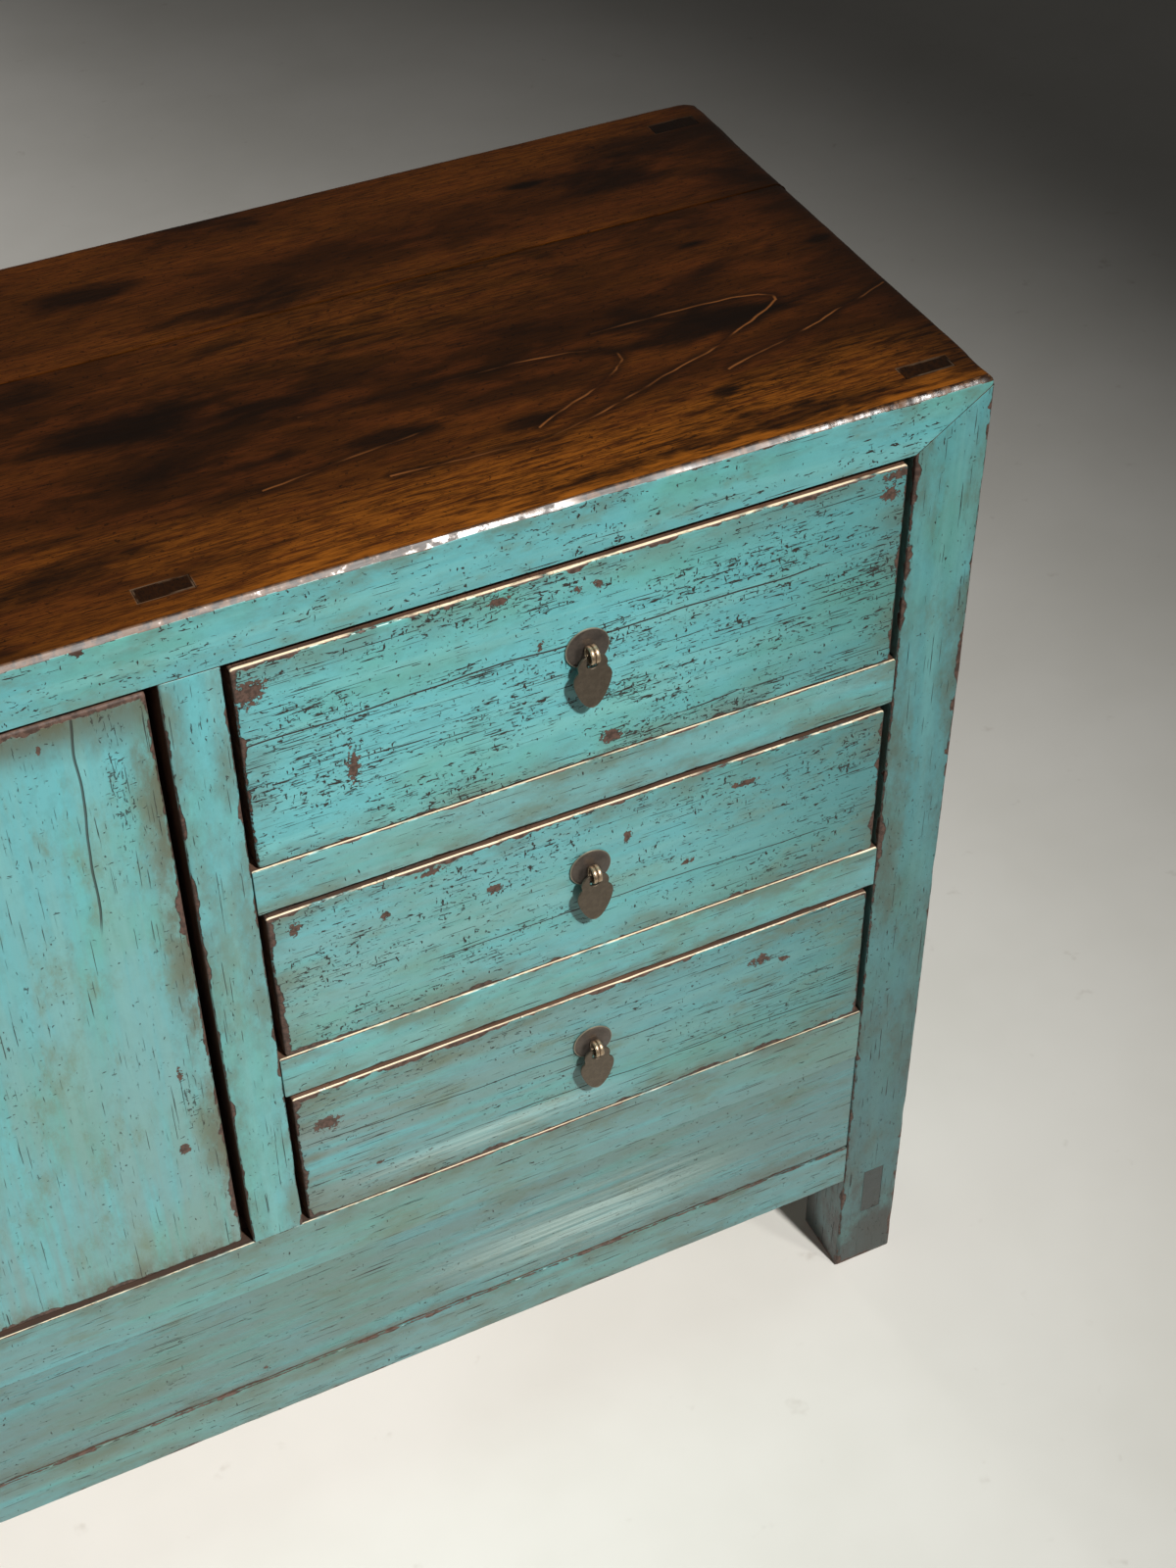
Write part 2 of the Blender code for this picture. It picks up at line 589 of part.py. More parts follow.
def make_side(word, side, holder):
    legs_y = (FRONT_Y + LEG_DEPTH, BACK_Y - LEG_DEPTH)
    panel_x = across(side, SIDE_PANEL_INNER, SIDE_PANEL_OUTER)
    panel_z = (SIDE_RAIL_Z[1] - TONGUE_LENGTH + FIT_GAP, UNDERSIDE - FIT_GAP)
    panel = block(panel_x, widen(legs_y, TONGUE_LENGTH - FIT_GAP), panel_z)
    make_piece(f"side_panel_{word}", "lacquer", holder, shell([panel]))

    outer = HALF_LENGTH - SIDE_RAIL_INSET
    body_y = widen(legs_y, -FIT_GAP)
    body = block(across(side, outer - SIDE_RAIL_THICKNESS, outer), body_y, SIDE_RAIL_Z)
    tenon_x = across(side, SIDE_TENON_OUTER - SIDE_TENON_THICKNESS, SIDE_TENON_OUTER)
    tenons = [
        block(tenon_x, (FRONT_Y, legs_y[0] + TENON_ROOT), SIDE_TENON_Z),
        block(tenon_x, (legs_y[1] - TENON_ROOT, BACK_Y), SIDE_TENON_Z),
    ]
    groove_z = (SIDE_RAIL_Z[1] - TONGUE_LENGTH, SIDE_RAIL_Z[1] + CUT_PAST)
    groove = side_panel_groove(side, widen(legs_y, CUT_PAST), groove_z)
    make_piece(f"side_rail_{word}", "lacquer", holder, shell([body]), [tenons], [groove])


def make_back(holder):
    y = (BACK_Y - RAIL_DEPTH, BACK_Y)
    groove_z = (BOTTOM_RAIL_Z[1] - TONGUE_LENGTH, BOTTOM_RAIL_Z[1] + CUT_PAST)
    groove = long_groove(widen(BACK_PANEL_Y, FIT_GAP), groove_z)
    mesh = shell([long_rail(BOTTOM_RAIL_Z, y)])
    tenons = end_tenons(BOTTOM_RAIL_Z, BACK_TENON_Y)
    make_piece("back_bottom_rail", "plain_wood", holder, mesh, [tenons], [groove])

    reach = LEG_INNER + TONGUE_LENGTH - FIT_GAP
    z = (BOTTOM_RAIL_Z[1] - TONGUE_LENGTH + FIT_GAP, UNDERSIDE - FIT_GAP)
    make_piece("back_panel", "plain_wood", holder, shell([block((-reach, reach), BACK_PANEL_Y, z)]))


def make_bottom_board(holder):
    """The board over the bottom rails, notched round the four legs."""
    wide = SIDE_PANEL_INNER - FIT_GAP
    narrow = LEG_INNER - FIT_GAP
    front = FRONT_Y + PANEL_INSET + FRONT_PANEL_THICKNESS + FIT_GAP
    rear = BACK_PANEL_Y[0] - FIT_GAP
    leg_front = FRONT_Y + LEG_DEPTH + FIT_GAP
    leg_rear = BACK_Y - LEG_DEPTH - FIT_GAP
    right = [
        (narrow, front),
        (narrow, leg_front),
        (wide, leg_front),
        (wide, leg_rear),
        (narrow, leg_rear),
        (narrow, rear),
    ]
    left = [(-x, y) for x, y in reversed(right)]
    board = prism("Z", right + left, BOTTOM_RAIL_Z[1] + FIT_GAP, BOARD_TOP)
    make_piece("bottom_board", "plain_wood", holder, shell([board]))


def runner_z(opening):
    return opening[0] - RUNNER_HEIGHT, opening[0]


def make_partition(word, side, holder):
    """The wall beside the door space, with one cleat for each drawer."""
    centre = middle((STILE_INNER, STILE_OUTER))
    wall = widen((centre, centre), PARTITION_THICKNESS / 2)
    y = (FRONT_Y + RAIL_DEPTH + FIT_GAP, BACK_PANEL_Y[0] - FIT_GAP)
    body = block(across(side, *wall), y, (BOARD_TOP + FIT_GAP, UNDERSIDE - FIT_GAP))
    cleats = []
    for opening in OPENINGS.values():
        x = across(side, centre, STILE_OUTER + RUNNER_REACH)
        cleats.append(block(x, widen(y, -RUNNER_END_GAP), runner_z(opening)))
    make_piece(f"partition_{word}", "plain_wood", holder, shell([body]), [cleats])


def make_runner_ladder(word, side, holder):
    """Two posts against the side panel that carry the outer runner of each drawer."""
    inner = LEG_INNER - RUNNER_REACH
    outer = SIDE_PANEL_INNER - FIT_GAP
    shank = LEG_INNER - FIT_GAP
    front = FRONT_Y + LEG_DEPTH + FIT_GAP
    rear = BACK_Y - LEG_DEPTH - FIT_GAP
    start = FRONT_Y + RAIL_DEPTH + FIT_GAP
    end = BACK_PANEL_Y[0] - FIT_GAP
    outline = [
        (inner, start),
        (shank, start),
        (shank, front),
        (outer - LADDER_SET_IN, front),
        (outer - LADDER_SET_IN, rear),
        (shank, rear),
        (shank, end),
        (inner, end),
    ]
    outline = [(side * x, y) for x, y in outline]
    runners = []
    for opening in OPENINGS.values():
        runners.append(prism("Z", outline, *runner_z(opening)))
    post_x = across(side, LEG_INNER, outer)
    post_z = (BOARD_TOP + FIT_GAP, UNDERSIDE - FIT_GAP)
    front_y = (front + LADDER_SET_IN, front + LADDER_SET_IN + LADDER_POST_DEPTH)
    rear_y = (rear - LADDER_SET_IN - LADDER_POST_DEPTH, rear - LADDER_SET_IN)
    front_post = shell([block(post_x, front_y, post_z)])
    rear_post = block(post_x, rear_y, post_z)
    name = f"runner_ladder_{word}"
    make_piece(name, "plain_wood", holder, front_post, [runners, [rear_post]])


def make_drawer(word, side, level, holder):
    """One drawer with its pull. Its front laps the tray, and the tray rides on the runners."""
    opening_x = across(side, STILE_OUTER, LEG_INNER)
    opening_z = OPENINGS[level]
    face_y = FRONT_Y + DRAWER_INSET
    inside_y = face_y + DRAWER_FRONT_THICKNESS
    front_x = widen(opening_x, -DRAWER_SIDE_GAP)
    front_z = (opening_z[0] + DRAWER_FOOT_GAP, opening_z[1] - DRAWER_TOP_GAP)
    tray_x = widen(opening_x, -TRAY_SIDE_GAP)
    tray_y = (inside_y - TRAY_LAP + FIT_GAP, BACK_PANEL_Y[0] - DRAWER_BACK_GAP)
    tray_z = (opening_z[0] + FIT_GAP, front_z[1] - TRAY_DROP)
    place = f"{word}_{level}"
    slide = make_holder(f"drawer_{place}", (middle(opening_x), face_y, middle(opening_z)), holder)

    room_x = widen(tray_x, -TRAY_SIDE_THICKNESS)
    room_floor = tray_z[0] + TRAY_FLOOR_THICKNESS
    lap_x = widen(tray_x, FIT_GAP)
    lap_room = widen(room_x, -FIT_GAP)
    lap_top = tray_z[1] + FIT_GAP
    lap_floor = room_floor + FIT_GAP
    lap = [
        (lap_x[0], opening_z[0] - CUT_PAST),
        (lap_x[1], opening_z[0] - CUT_PAST),
        (lap_x[1], lap_top),
        (lap_room[1], lap_top),
        (lap_room[1], lap_floor),
        (lap_room[0], lap_floor),
        (lap_room[0], lap_top),
        (lap_x[0], lap_top),
    ]
    pull = (middle(opening_x), face_y, middle(opening_z) + PULL_RISE)
    cuts = [
        prism("Y", lap, inside_y - TRAY_LAP, inside_y + CUT_PAST),
        shank_hole(pull, inside_y),
    ]
    mesh = shell([block(front_x, (face_y, inside_y), front_z)])
    ease_front(mesh, face_y, FRONT_EASE)
    make_piece(f"drawer_front_{place}", "lacquer", slide, mesh, cuts=cuts)

    room_y = (tray_y[0] - CUT_PAST, tray_y[1] - TRAY_BACK_THICKNESS)
    room = block(room_x, room_y, (room_floor, tray_z[1] + CUT_PAST))
    mesh = shell([block(tray_x, tray_y, tray_z)])
    make_piece(f"drawer_tray_{place}", "plain_wood", slide, mesh, cuts=[room])
    make_pull(place, pull, inside_y, slide)


def shank_hole(pull, inside_y):
    low = pull[1] - CUT_PAST
    return rod("Y", (pull[0], pull[2]), SHANK_RADIUS + FIT_GAP, SHANK_SIDES, low, inside_y + CUT_PAST)


def make_pull(place, pull, inside_y, holder):
    """A domed plate with its strap loop and clinched shank, and the leaf that hangs in the loop."""
    x, face_y, z = pull
    loop_y = face_y - LOOP_REACH
    loop_x = widen((x, x), LOOP_WIDTH / 2)
    loop = rod("X", (loop_y, z), LOOP_RADIUS, LOOP_SIDES, *loop_x)
    shank_y = (face_y - PLATE_RIM, inside_y + SHANK_CLINCH)
    shank = rod("Y", (x, z), SHANK_RADIUS, SHANK_SIDES, *shank_y)
    eye = rod("X", (loop_y, z), LOOP_RADIUS - LOOP_WALL, LOOP_SIDES, *widen(loop_x, CUT_PAST))
    plate = turned_plate(x, face_y, z)
    make_piece(f"pull_plate_{place}", "dark_brass", holder, plate, [[loop, shank]], [eye])

    axis = (x, loop_y, z - LEAF_HANG)
    half = []
    for curve in LEAF_CURVES:
        points = [Vector((a, b, 0)) for a, b in curve]
        half += interpolate_bezier(*points, LEAF_CURVE_STEPS)[:-1]
    tip = LEAF_CURVES[-1][-1]
    right = [(axis[0] + point.x, axis[2] + point.y) for point in half]
    left = [(axis[0] - point.x, axis[2] + point.y) for point in reversed(half[1:])]
    outline = right + [(axis[0], axis[2] + tip[1])] + left
    leaf_y = widen((axis[1], axis[1]), LEAF_THICKNESS / 2)
    eye_top = axis[2] - LEAF_EYE_TOP
    eye = [(axis[0] + LEAF_EYE_RADIUS, eye_top), (axis[0] - LEAF_EYE_RADIUS, eye_top)]
    for step in range(LEAF_EYE_STEPS + 1):
        turn = math.pi * (1 + step / LEAF_EYE_STEPS)
        across_eye = axis[0] + LEAF_EYE_RADIUS * math.cos(turn)
        eye.append((across_eye, eye_top - LEAF_EYE_STRAIGHT + LEAF_EYE_RADIUS * math.sin(turn)))
    mesh = shell([prism("Y", outline, *leaf_y)])
    cuts = [prism("Y", eye, *widen(leaf_y, CUT_PAST))]
    make_piece(f"pull_leaf_{place}", "dark_brass", holder, mesh, cuts=cuts, origin=axis)


def make_door(word, side, holder):
    """A plank door that turns on two pins, with its battens and its pull."""
    pivot = make_holder(f"door_turn_{word}", (side * PIN_X, PIN_Y, middle(DOOR_Z)), holder)
    x = across(side, DOOR_INNER, DOOR_OUTER)
    pins = [
        pin_rod(side, PIN_RADIUS, (DOOR_Z[1] - TENON_ROOT, UNDERSIDE + PIN_LENGTH)),
        pin_rod(side, PIN_RADIUS, (LOWER_RAIL_Z[1] - PIN_LENGTH, DOOR_Z[0] + TENON_ROOT)),
    ]
    pull_x = side * (DOOR_INNER + DOOR_PULL_INSET)
    pull = (pull_x, DOOR_Y[0], middle(DOOR_Z) + PULL_RISE)
    batten_end = PIN_X - BATTEN_PIN_GAP
    heights = {"lower": DOOR_Z[0] + BATTEN_FROM_END, "upper": DOOR_Z[1] - BATTEN_FROM_END}
    cuts = [shank_hole(pull, DOOR_Y[1])]
    for z in heights.values():
        groove_x = across(side, DOOR_INNER - CUT_PAST, batten_end + FIT_GAP)
        cuts.append(prism("X", batten_outline(z, FIT_GAP, CUT_PAST), *groove_x))
    mesh = shell([block(x, DOOR_Y, DOOR_Z)])
    ease_front(mesh, DOOR_Y[0], FRONT_EASE)
    make_piece(f"door_{word}", "lacquer", pivot, mesh, [pins], cuts)
    for level, z in heights.items():
        batten_x = across(side, DOOR_INNER + BATTEN_END_GAP, batten_end)
        batten = prism("X", batten_outline(z, 0, BATTEN_PROUD), *batten_x)
        make_piece(f"door_batten_{word}_{level}", "plain_wood", pivot, shell([batten]))
    make_pull(f"door_{word}", pull, DOOR_Y[1], pivot)


def batten_outline(z, gap, proud):
    """Dovetailed batten, or its groove where a gap is given, in Y and Z."""
    narrow = BATTEN_HEIGHT / 2 + gap
    wide = narrow + BATTEN_FLARE
    deep = DOOR_Y[1] - BATTEN_SINK + FIT_GAP - gap
    return [
        (deep, z - wide),
        (DOOR_Y[1], z - narrow),
        (DOOR_Y[1] + proud, z - narrow),
        (DOOR_Y[1] + proud, z + narrow),
        (DOOR_Y[1], z + narrow),
        (deep, z + wide),
    ]


def make_sideboard():
    for thing in list(bpy.data.objects):
        bpy.data.objects.remove(thing)
    case = make_holder("sideboard", (0, 0, 0))
    make_top_front(case)
    make_top_rear(case)
    make_front_rails(case)
    make_back(case)
    make_bottom_board(case)
    for word, side in SIDES.items():
        make_front_leg(word, side, case)
        make_back_leg(word, side, case)
        make_stile(word, side, case)
        make_drawer_rails(word, side, case)
        make_side(word, side, case)
        make_partition(word, side, case)
        make_runner_ladder(word, side, case)
        make_door(word, side, case)
        for level in OPENINGS:
            make_drawer(word, side, level, case)


make_sideboard()
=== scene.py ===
# %% [markdown]
# # An old lacquered sideboard
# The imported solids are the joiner's drawing: every board, tenon and pull is already in its place.
# This lesson dresses them. Each board that shows is made again with worn edges, the finishes are
# mixed from procedural textures, and soft lamps light the piece as in the photograph.

# %% Load the frame
import json
import math

import bmesh
import bpy
from mathutils import Matrix, Vector, noise
from mathutils.geometry import interpolate_bezier


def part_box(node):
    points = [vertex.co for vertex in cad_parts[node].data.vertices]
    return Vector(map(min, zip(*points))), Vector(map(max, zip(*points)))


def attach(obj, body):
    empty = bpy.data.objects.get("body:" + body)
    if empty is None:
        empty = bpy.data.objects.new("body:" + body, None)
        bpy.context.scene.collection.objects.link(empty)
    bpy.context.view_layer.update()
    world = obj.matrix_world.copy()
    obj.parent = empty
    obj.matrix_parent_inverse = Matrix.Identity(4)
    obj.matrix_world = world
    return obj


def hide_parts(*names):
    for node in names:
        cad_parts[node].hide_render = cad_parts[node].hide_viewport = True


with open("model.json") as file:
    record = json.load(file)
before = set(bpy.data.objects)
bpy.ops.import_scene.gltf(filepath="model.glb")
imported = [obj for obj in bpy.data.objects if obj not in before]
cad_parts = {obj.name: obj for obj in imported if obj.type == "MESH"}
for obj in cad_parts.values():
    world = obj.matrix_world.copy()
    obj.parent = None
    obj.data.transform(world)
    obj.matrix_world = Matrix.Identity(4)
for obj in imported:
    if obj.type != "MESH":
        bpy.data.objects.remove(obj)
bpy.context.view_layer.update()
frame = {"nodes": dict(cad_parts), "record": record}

scene = bpy.context.scene

# %% [markdown]
# ## Camera
# The photographer stood before the right-hand end and looked down over the drawers. The camera's
# place and aim were solved from the corners of the drawers and the top, so they are given as a
# point and two directions. Turning a camera by hand until it looks right would take far longer.

# %% Camera
IMAGE_HEIGHT = 1600
FOCAL_PIXELS = 2481.55
SENSOR = 36.0
CAMERA_POINT = Vector((0.16497, -1.18151, 1.67542))
CAMERA_RIGHT = Vector((0.90229, -0.43101, -0.01020))
CAMERA_FORWARD = Vector((0.30740, 0.65975, -0.68573))

lens = bpy.data.cameras.new("camera")
lens.sensor_width = SENSOR
lens.lens = FOCAL_PIXELS * SENSOR / IMAGE_HEIGHT
camera = bpy.data.objects.new("camera", lens)
scene.collection.objects.link(camera)
camera_up = CAMERA_RIGHT.cross(CAMERA_FORWARD)
turn = Matrix((CAMERA_RIGHT, camera_up, -CAMERA_FORWARD)).transposed()
camera.matrix_world = Matrix.Translation(CAMERA_POINT) @ turn.to_4x4()
scene.camera = camera
print("camera lens", round(lens.lens, 2), "mm")

# %% [markdown]
# ## Light
# The floor tells where the light comes from: it is brightest just before the drawers, half as
# bright beside the leg and almost dark behind. One soft lamp over the front right corner, with a
# narrowed spread, gives that pool. A weak one further right draws the long glint on the front edge
# of the top, and low lamps behind and at the left keep the hidden sides from going black. An even
# sky alone would be simpler, but it would flatten the worn edges.

# %% Light
LAMP_TINT = (1.0, 0.975, 0.935)
SKY_TINT = (1.0, 0.97, 0.92, 1.0)
SKY_STRENGTH = 0.037


def soft_lamp(name, place, aim, size, power, spread):
    light = bpy.data.lights.new(name, "AREA")
    light.shape = "DISK"
    light.size = size
    light.energy = power
    light.color = LAMP_TINT
    light.spread = math.radians(spread)
    lamp = bpy.data.objects.new(name, light)
    scene.collection.objects.link(lamp)
    lamp.location = place
    lamp.rotation_mode = "QUATERNION"
    lamp.rotation_quaternion = (Vector(aim) - Vector(place)).to_track_quat("-Z", "Y")
    lamp.visible_camera = False


soft_lamp("front_lamp", (1.46, -2.84, 4.00), (0.215, -0.045, 0.331), 0.30, 16.6, 44.5)
soft_lamp("right_lamp", (2.40, -2.75, 3.75), (0.80, -0.40, 0.45), 0.40, 1.25, 36.0)
soft_lamp("rear_lamp", (0.20, 4.60, 0.45), (-0.05, 0.30, 0.45), 0.40, 7.5, 48)
soft_lamp("left_lamp", (-4.20, -0.30, 0.45), (-0.90, 0.00, 0.42), 0.40, 1.2, 36)
sky = bpy.data.worlds.new("dim_room")
sky.use_nodes = True
glow = sky.node_tree.nodes["Background"]
glow.inputs["Color"].default_value = SKY_TINT
glow.inputs["Strength"].default_value = SKY_STRENGTH
scene.world = sky
scene.view_settings.view_transform = "Standard"

# %% [markdown]
# ## A helper for finishes
# A finish is a chain of small nodes. Wiring them one by one hides the recipe, so this class gives
# each kind of node a short verb. A value handed to a verb is either a number, which is set on the
# node's own socket, or the output of another node, which is linked.

# %% Finish helper
def colour(red, green, blue):
    """A colour named by its screen values, as the shader wants it."""
    linear = []
    for part in (red, green, blue):
        share = part / 255
        linear.append(share / 12.92 if share <= 0.04045 else ((share + 0.055) / 1.055) ** 2.4)
    return (*linear, 1.0)


class Finish:
    """One material and the nodes that mix it."""

    def __init__(self, name):
        self.material = bpy.data.materials.new(name)
        self.material.use_nodes = True
        self.tree = self.material.node_tree
        self.shader = self.tree.nodes["Principled BSDF"]

    def set(self, socket, value):
        if isinstance(value, bpy.types.NodeSocket):
            self.tree.links.new(value, socket)
        else:
            socket.default_value = value

    def add(self, kind, *values):
        node = self.tree.nodes.new(kind)
        for socket, value in zip(node.inputs, values):
            self.set(socket, value)
        return node

    def sum(self, operation, a, b=0.0, c=0.0):
        node = self.add("ShaderNodeMath", a, b, c)
        node.operation = operation
        return node.outputs[0]

    def times(self, a, b):
        return self.sum("MULTIPLY", a, b)

    def plus(self, a, b):
        return self.sum("ADD", a, b)

    def minus(self, a, b):
        return self.sum("SUBTRACT", a, b)

    def ramp(self, a, slope, start):
        """A value times a slope, from a start."""
        return self.sum("MULTIPLY_ADD", a, slope, start)

    def size(self, a):
        return self.sum("ABSOLUTE", a)

    def least(self, a, b):
        return self.sum("MINIMUM", a, b)

    def most(self, *values):
        result = values[0]
        for value in values[1:]:
            result = self.sum("MAXIMUM", result, value)
        return result

    def step(self, value, start, end):
        """0 at start and 1 at end, smooth between and level outside."""
        node = self.add("ShaderNodeMapRange", value, start, end)
        node.interpolation_type = "SMOOTHSTEP"
        return node.outputs[0]

    def vector(self, operation, *values):
        node = self.add("ShaderNodeVectorMath", *values)
        node.operation = operation
        return node.outputs["Value" if operation in ("LENGTH", "DISTANCE", "DOT_PRODUCT") else "Vector"]

    def stretch(self, vector, along, across, deep):
        return self.vector("MULTIPLY", vector, (along, across, deep))

    def shift(self, vector, x, y, z):
        return self.vector("ADD", vector, (x, y, z))

    def cloud(self, vector, scale, detail=2.0, rough=0.5, twist=0.0, output="Fac"):
        """Noise with so many clouds to the metre, the same all ways or along, across and deep."""
        ways = scale if isinstance(scale, (tuple, list)) else (scale,) * 3
        spread = self.stretch(vector, *ways)
        node = self.tree.nodes.new("ShaderNodeTexNoise")
        self.set(node.inputs["Vector"], spread)
        for name, value in (("Scale", 1.0), ("Detail", detail), ("Roughness", rough), ("Distortion", twist)):
            node.inputs[name].default_value = value
        return node.outputs[output]

    def cells(self, vector):
        node = self.tree.nodes.new("ShaderNodeTexVoronoi")
        self.set(node.inputs["Vector"], vector)
        node.inputs["Scale"].default_value = 1.0
        return node.outputs["Distance"], node.outputs["Color"]

    def parts(self, vector):
        return self.add("ShaderNodeSeparateXYZ", vector).outputs

    def mix(self, share, first, second):
        node = self.tree.nodes.new("ShaderNodeMix")
        node.data_type = "RGBA"
        self.set(node.inputs[0], share)
        self.set(node.inputs[6], first)
        self.set(node.inputs[7], second)
        return node.outputs[2]

    def lay(self, base, over, mask, strength):
        """A colour laid over another where a mask shows, at a strength."""
        return self.mix(self.times(mask, strength), base, over)

    def note(self, name):
        node = self.tree.nodes.new("ShaderNodeAttribute")
        node.attribute_name = name
        return node.outputs["Vector"]

    def bump(self, height, depth):
        node = self.tree.nodes.new("ShaderNodeBump")
        node.inputs["Strength"].default_value = 1.0
        node.inputs["Distance"].default_value = depth
        self.set(node.inputs["Height"], height)
        self.set(self.shader.inputs["Normal"], node.outputs["Normal"])

    def dress(self, base, rough, **constants):
        self.set(self.shader.inputs["Base Color"], base)
        self.set(self.shader.inputs["Roughness"], rough)
        for name, value in constants.items():
            self.shader.inputs[name.replace("_", " ")].default_value = value
        return self.material


print("finish helper ready")

# %% [markdown]
# ## Floor
# A wide painted floor, pale and nearly plain. It is one large grid with a faint mottle, because a
# perfectly even floor looks like paper under raking light.

# %% Floor
FLOOR_SIZE = 40.0

floor_paint = Finish("floor_paint")
floor_place = floor_paint.add("ShaderNodeTexCoord").outputs["Object"]
mottle = floor_paint.cloud(floor_place, 3.0, 4.0, 0.6)
scuff = floor_paint.cloud(floor_place, 26.0, 3.0, 0.6)
floor_tone = floor_paint.mix(floor_paint.step(mottle, 0.3, 0.7), colour(228, 227, 221), colour(235, 234, 229))
floor_tone = floor_paint.mix(floor_paint.step(scuff, 0.66, 0.8), floor_tone, colour(214, 211, 204))
floor_paint.dress(floor_tone, floor_paint.ramp(mottle, 0.2, 0.42))
bpy.ops.mesh.primitive_grid_add(x_subdivisions=8, y_subdivisions=8, size=FLOOR_SIZE)
floor = bpy.context.object
floor.name = "floor"
floor.data.materials.append(floor_paint.material)
print("floor", FLOOR_SIZE, "m wide")

# %% [markdown]
# ## Worn boards
# No board on the real piece has a sharp edge. Hands, feet and long years of sliding drawers have
# rounded every arris unevenly, with a chip here and there. A bevel modifier rounds all edges by one
# amount, so each board is built ring by ring instead: the outline is walked in short steps, and at
# each step the rings round the front edge take a radius of their own from slow and fine noise.

# %% Mesh helpers
def close_mesh(builder, name):
    """Turn all faces outwards and hand the mesh over."""
    bmesh.ops.recalc_face_normals(builder, faces=builder.faces)
    mesh = bpy.data.meshes.new(name)
    builder.to_mesh(mesh)
    builder.free()
    return mesh


def bridge(builder, first, second):
    """Faces between two closed rings of points. A ring may be a single point."""
    count = max(len(first), len(second))
    for i in range(count):
        j = (i + 1) % count
        corners = [first[i % len(first)], first[j % len(first)], second[j % len(second)], second[i % len(second)]]
        builder.faces.new(list(dict.fromkeys(corners)))


print("mesh helpers ready")

# %% Board outline
STEP = 0.006
DIP_MIDDLE = 0.293
DIP_SIDE = 0.617
WIDE = 4
CLOSE_STOPS = (0.134, 0.5, 1.0)


def base_radius(wear, share):
    """Mean radius at a share along an edge. An edge may have one radius or a start, middle and end."""
    if isinstance(wear, tuple):
        start, mid, end = wear
        if share < 0.5:
            return start + (mid - start) * share * 2
        return mid + (end - mid) * (share * 2 - 1)
    return wear


def walk(outline, corner, wear):
    """Stops round an outline (edge, share along it, point), and its corners, edge ways and normals.

    The corners share one radius or have one each. Beside a much wider round the stops are closer, so
    that a sharp edge can follow its neighbour's round.
    """
    count = len(outline)
    radii = corner if isinstance(corner, tuple) else (corner,) * count
    points = [Vector(point) for point in outline]
    after = points[1:] + points[:1]
    tangents = [(end - start).normalized() for start, end in zip(points, after)]
    normals = [Vector((-t.y, t.x)) for t in tangents]
    stops = []
    for k in range(count):
        near, far = radii[k], radii[(k + 1) % count]
        length = (after[k] - points[k]).length
        mitre = (normals[k - 1] + normals[k]) / (1 + normals[k - 1].dot(normals[k]))
        stops.append((k, 0.0, points[k] + mitre * near * DIP_MIDDLE))
        straight = length - near - far
        pieces = max(2, round(straight / STEP))
        along = [near + straight * i / pieces for i in range(pieces + 1)]
        along += [near * DIP_SIDE, length - far * DIP_SIDE]
        before, ahead = base_radius(wear[k - 1], 1.0), base_radius(wear[(k + 1) % count], 0.0)
        for share in CLOSE_STOPS:
            along += [share * before] if before > WIDE * near else []
            along += [length - share * ahead] if ahead > WIDE * far else []
        for s in sorted(along):
            size, gone = (near, s) if s < length / 2 else (far, length - s)
            short = max(0.0, size - gone)
            dip = size - math.sqrt(size * size - short * short)
            stops.append((k, s / length, points[k] + tangents[k] * s + normals[k] * dip))
    return stops, points, tangents, normals


def oblong(a, b):
    """A rectangle as an outline, anticlockwise."""
    return [(a[0], b[0]), (a[1], b[0]), (a[1], b[1]), (a[0], b[1])]


print("stops round a 400 x 130 mm board:", len(walk(oblong((0, 0.4), (0, 0.13)), 0.001, [0.001] * 4)[0]))

# %% Board rings
FLAT_RING = 0.004
MOST_SWING = 0.0016
# Each ring round the front edge: share of the radius inwards, share downwards, extra inwards
EDGE_RINGS = ((1, 0, FLAT_RING), (1, 0, 0), (0.5, 0.134, 0), (0.134, 0.5, 0), (0, 1, 0))


def worn_radius(base, where, seed):
    """Radius of an arris at one place: slow and fine changes, and now and then a chip."""
    slow = noise.noise(Vector((where * 9, seed, 0.5)))
    fine = noise.noise(Vector((where * 70, seed, 5.5)))
    chip = max(0.0, noise.noise(Vector((where * 30, seed, 11.5))) - 0.3)
    return base + min(base, MOST_SWING) * (0.35 * slow + 0.25 * fine + 2.4 * chip)


def corner_pull(tangent, normal, other, own_inset, other_inset):
    """How far a corner slides along an edge when the edge and its neighbour move inwards."""
    lean = normal.dot(other)
    return other.dot(tangent) * (other_inset - lean * own_inset) / (1 - lean * lean)


def round_drop(radius, near):
    """How far a round of that radius has fallen at a distance from its edge."""
    short = min(radius, max(0.0, radius - near))
    return radius - math.sqrt(radius * radius - short * short)


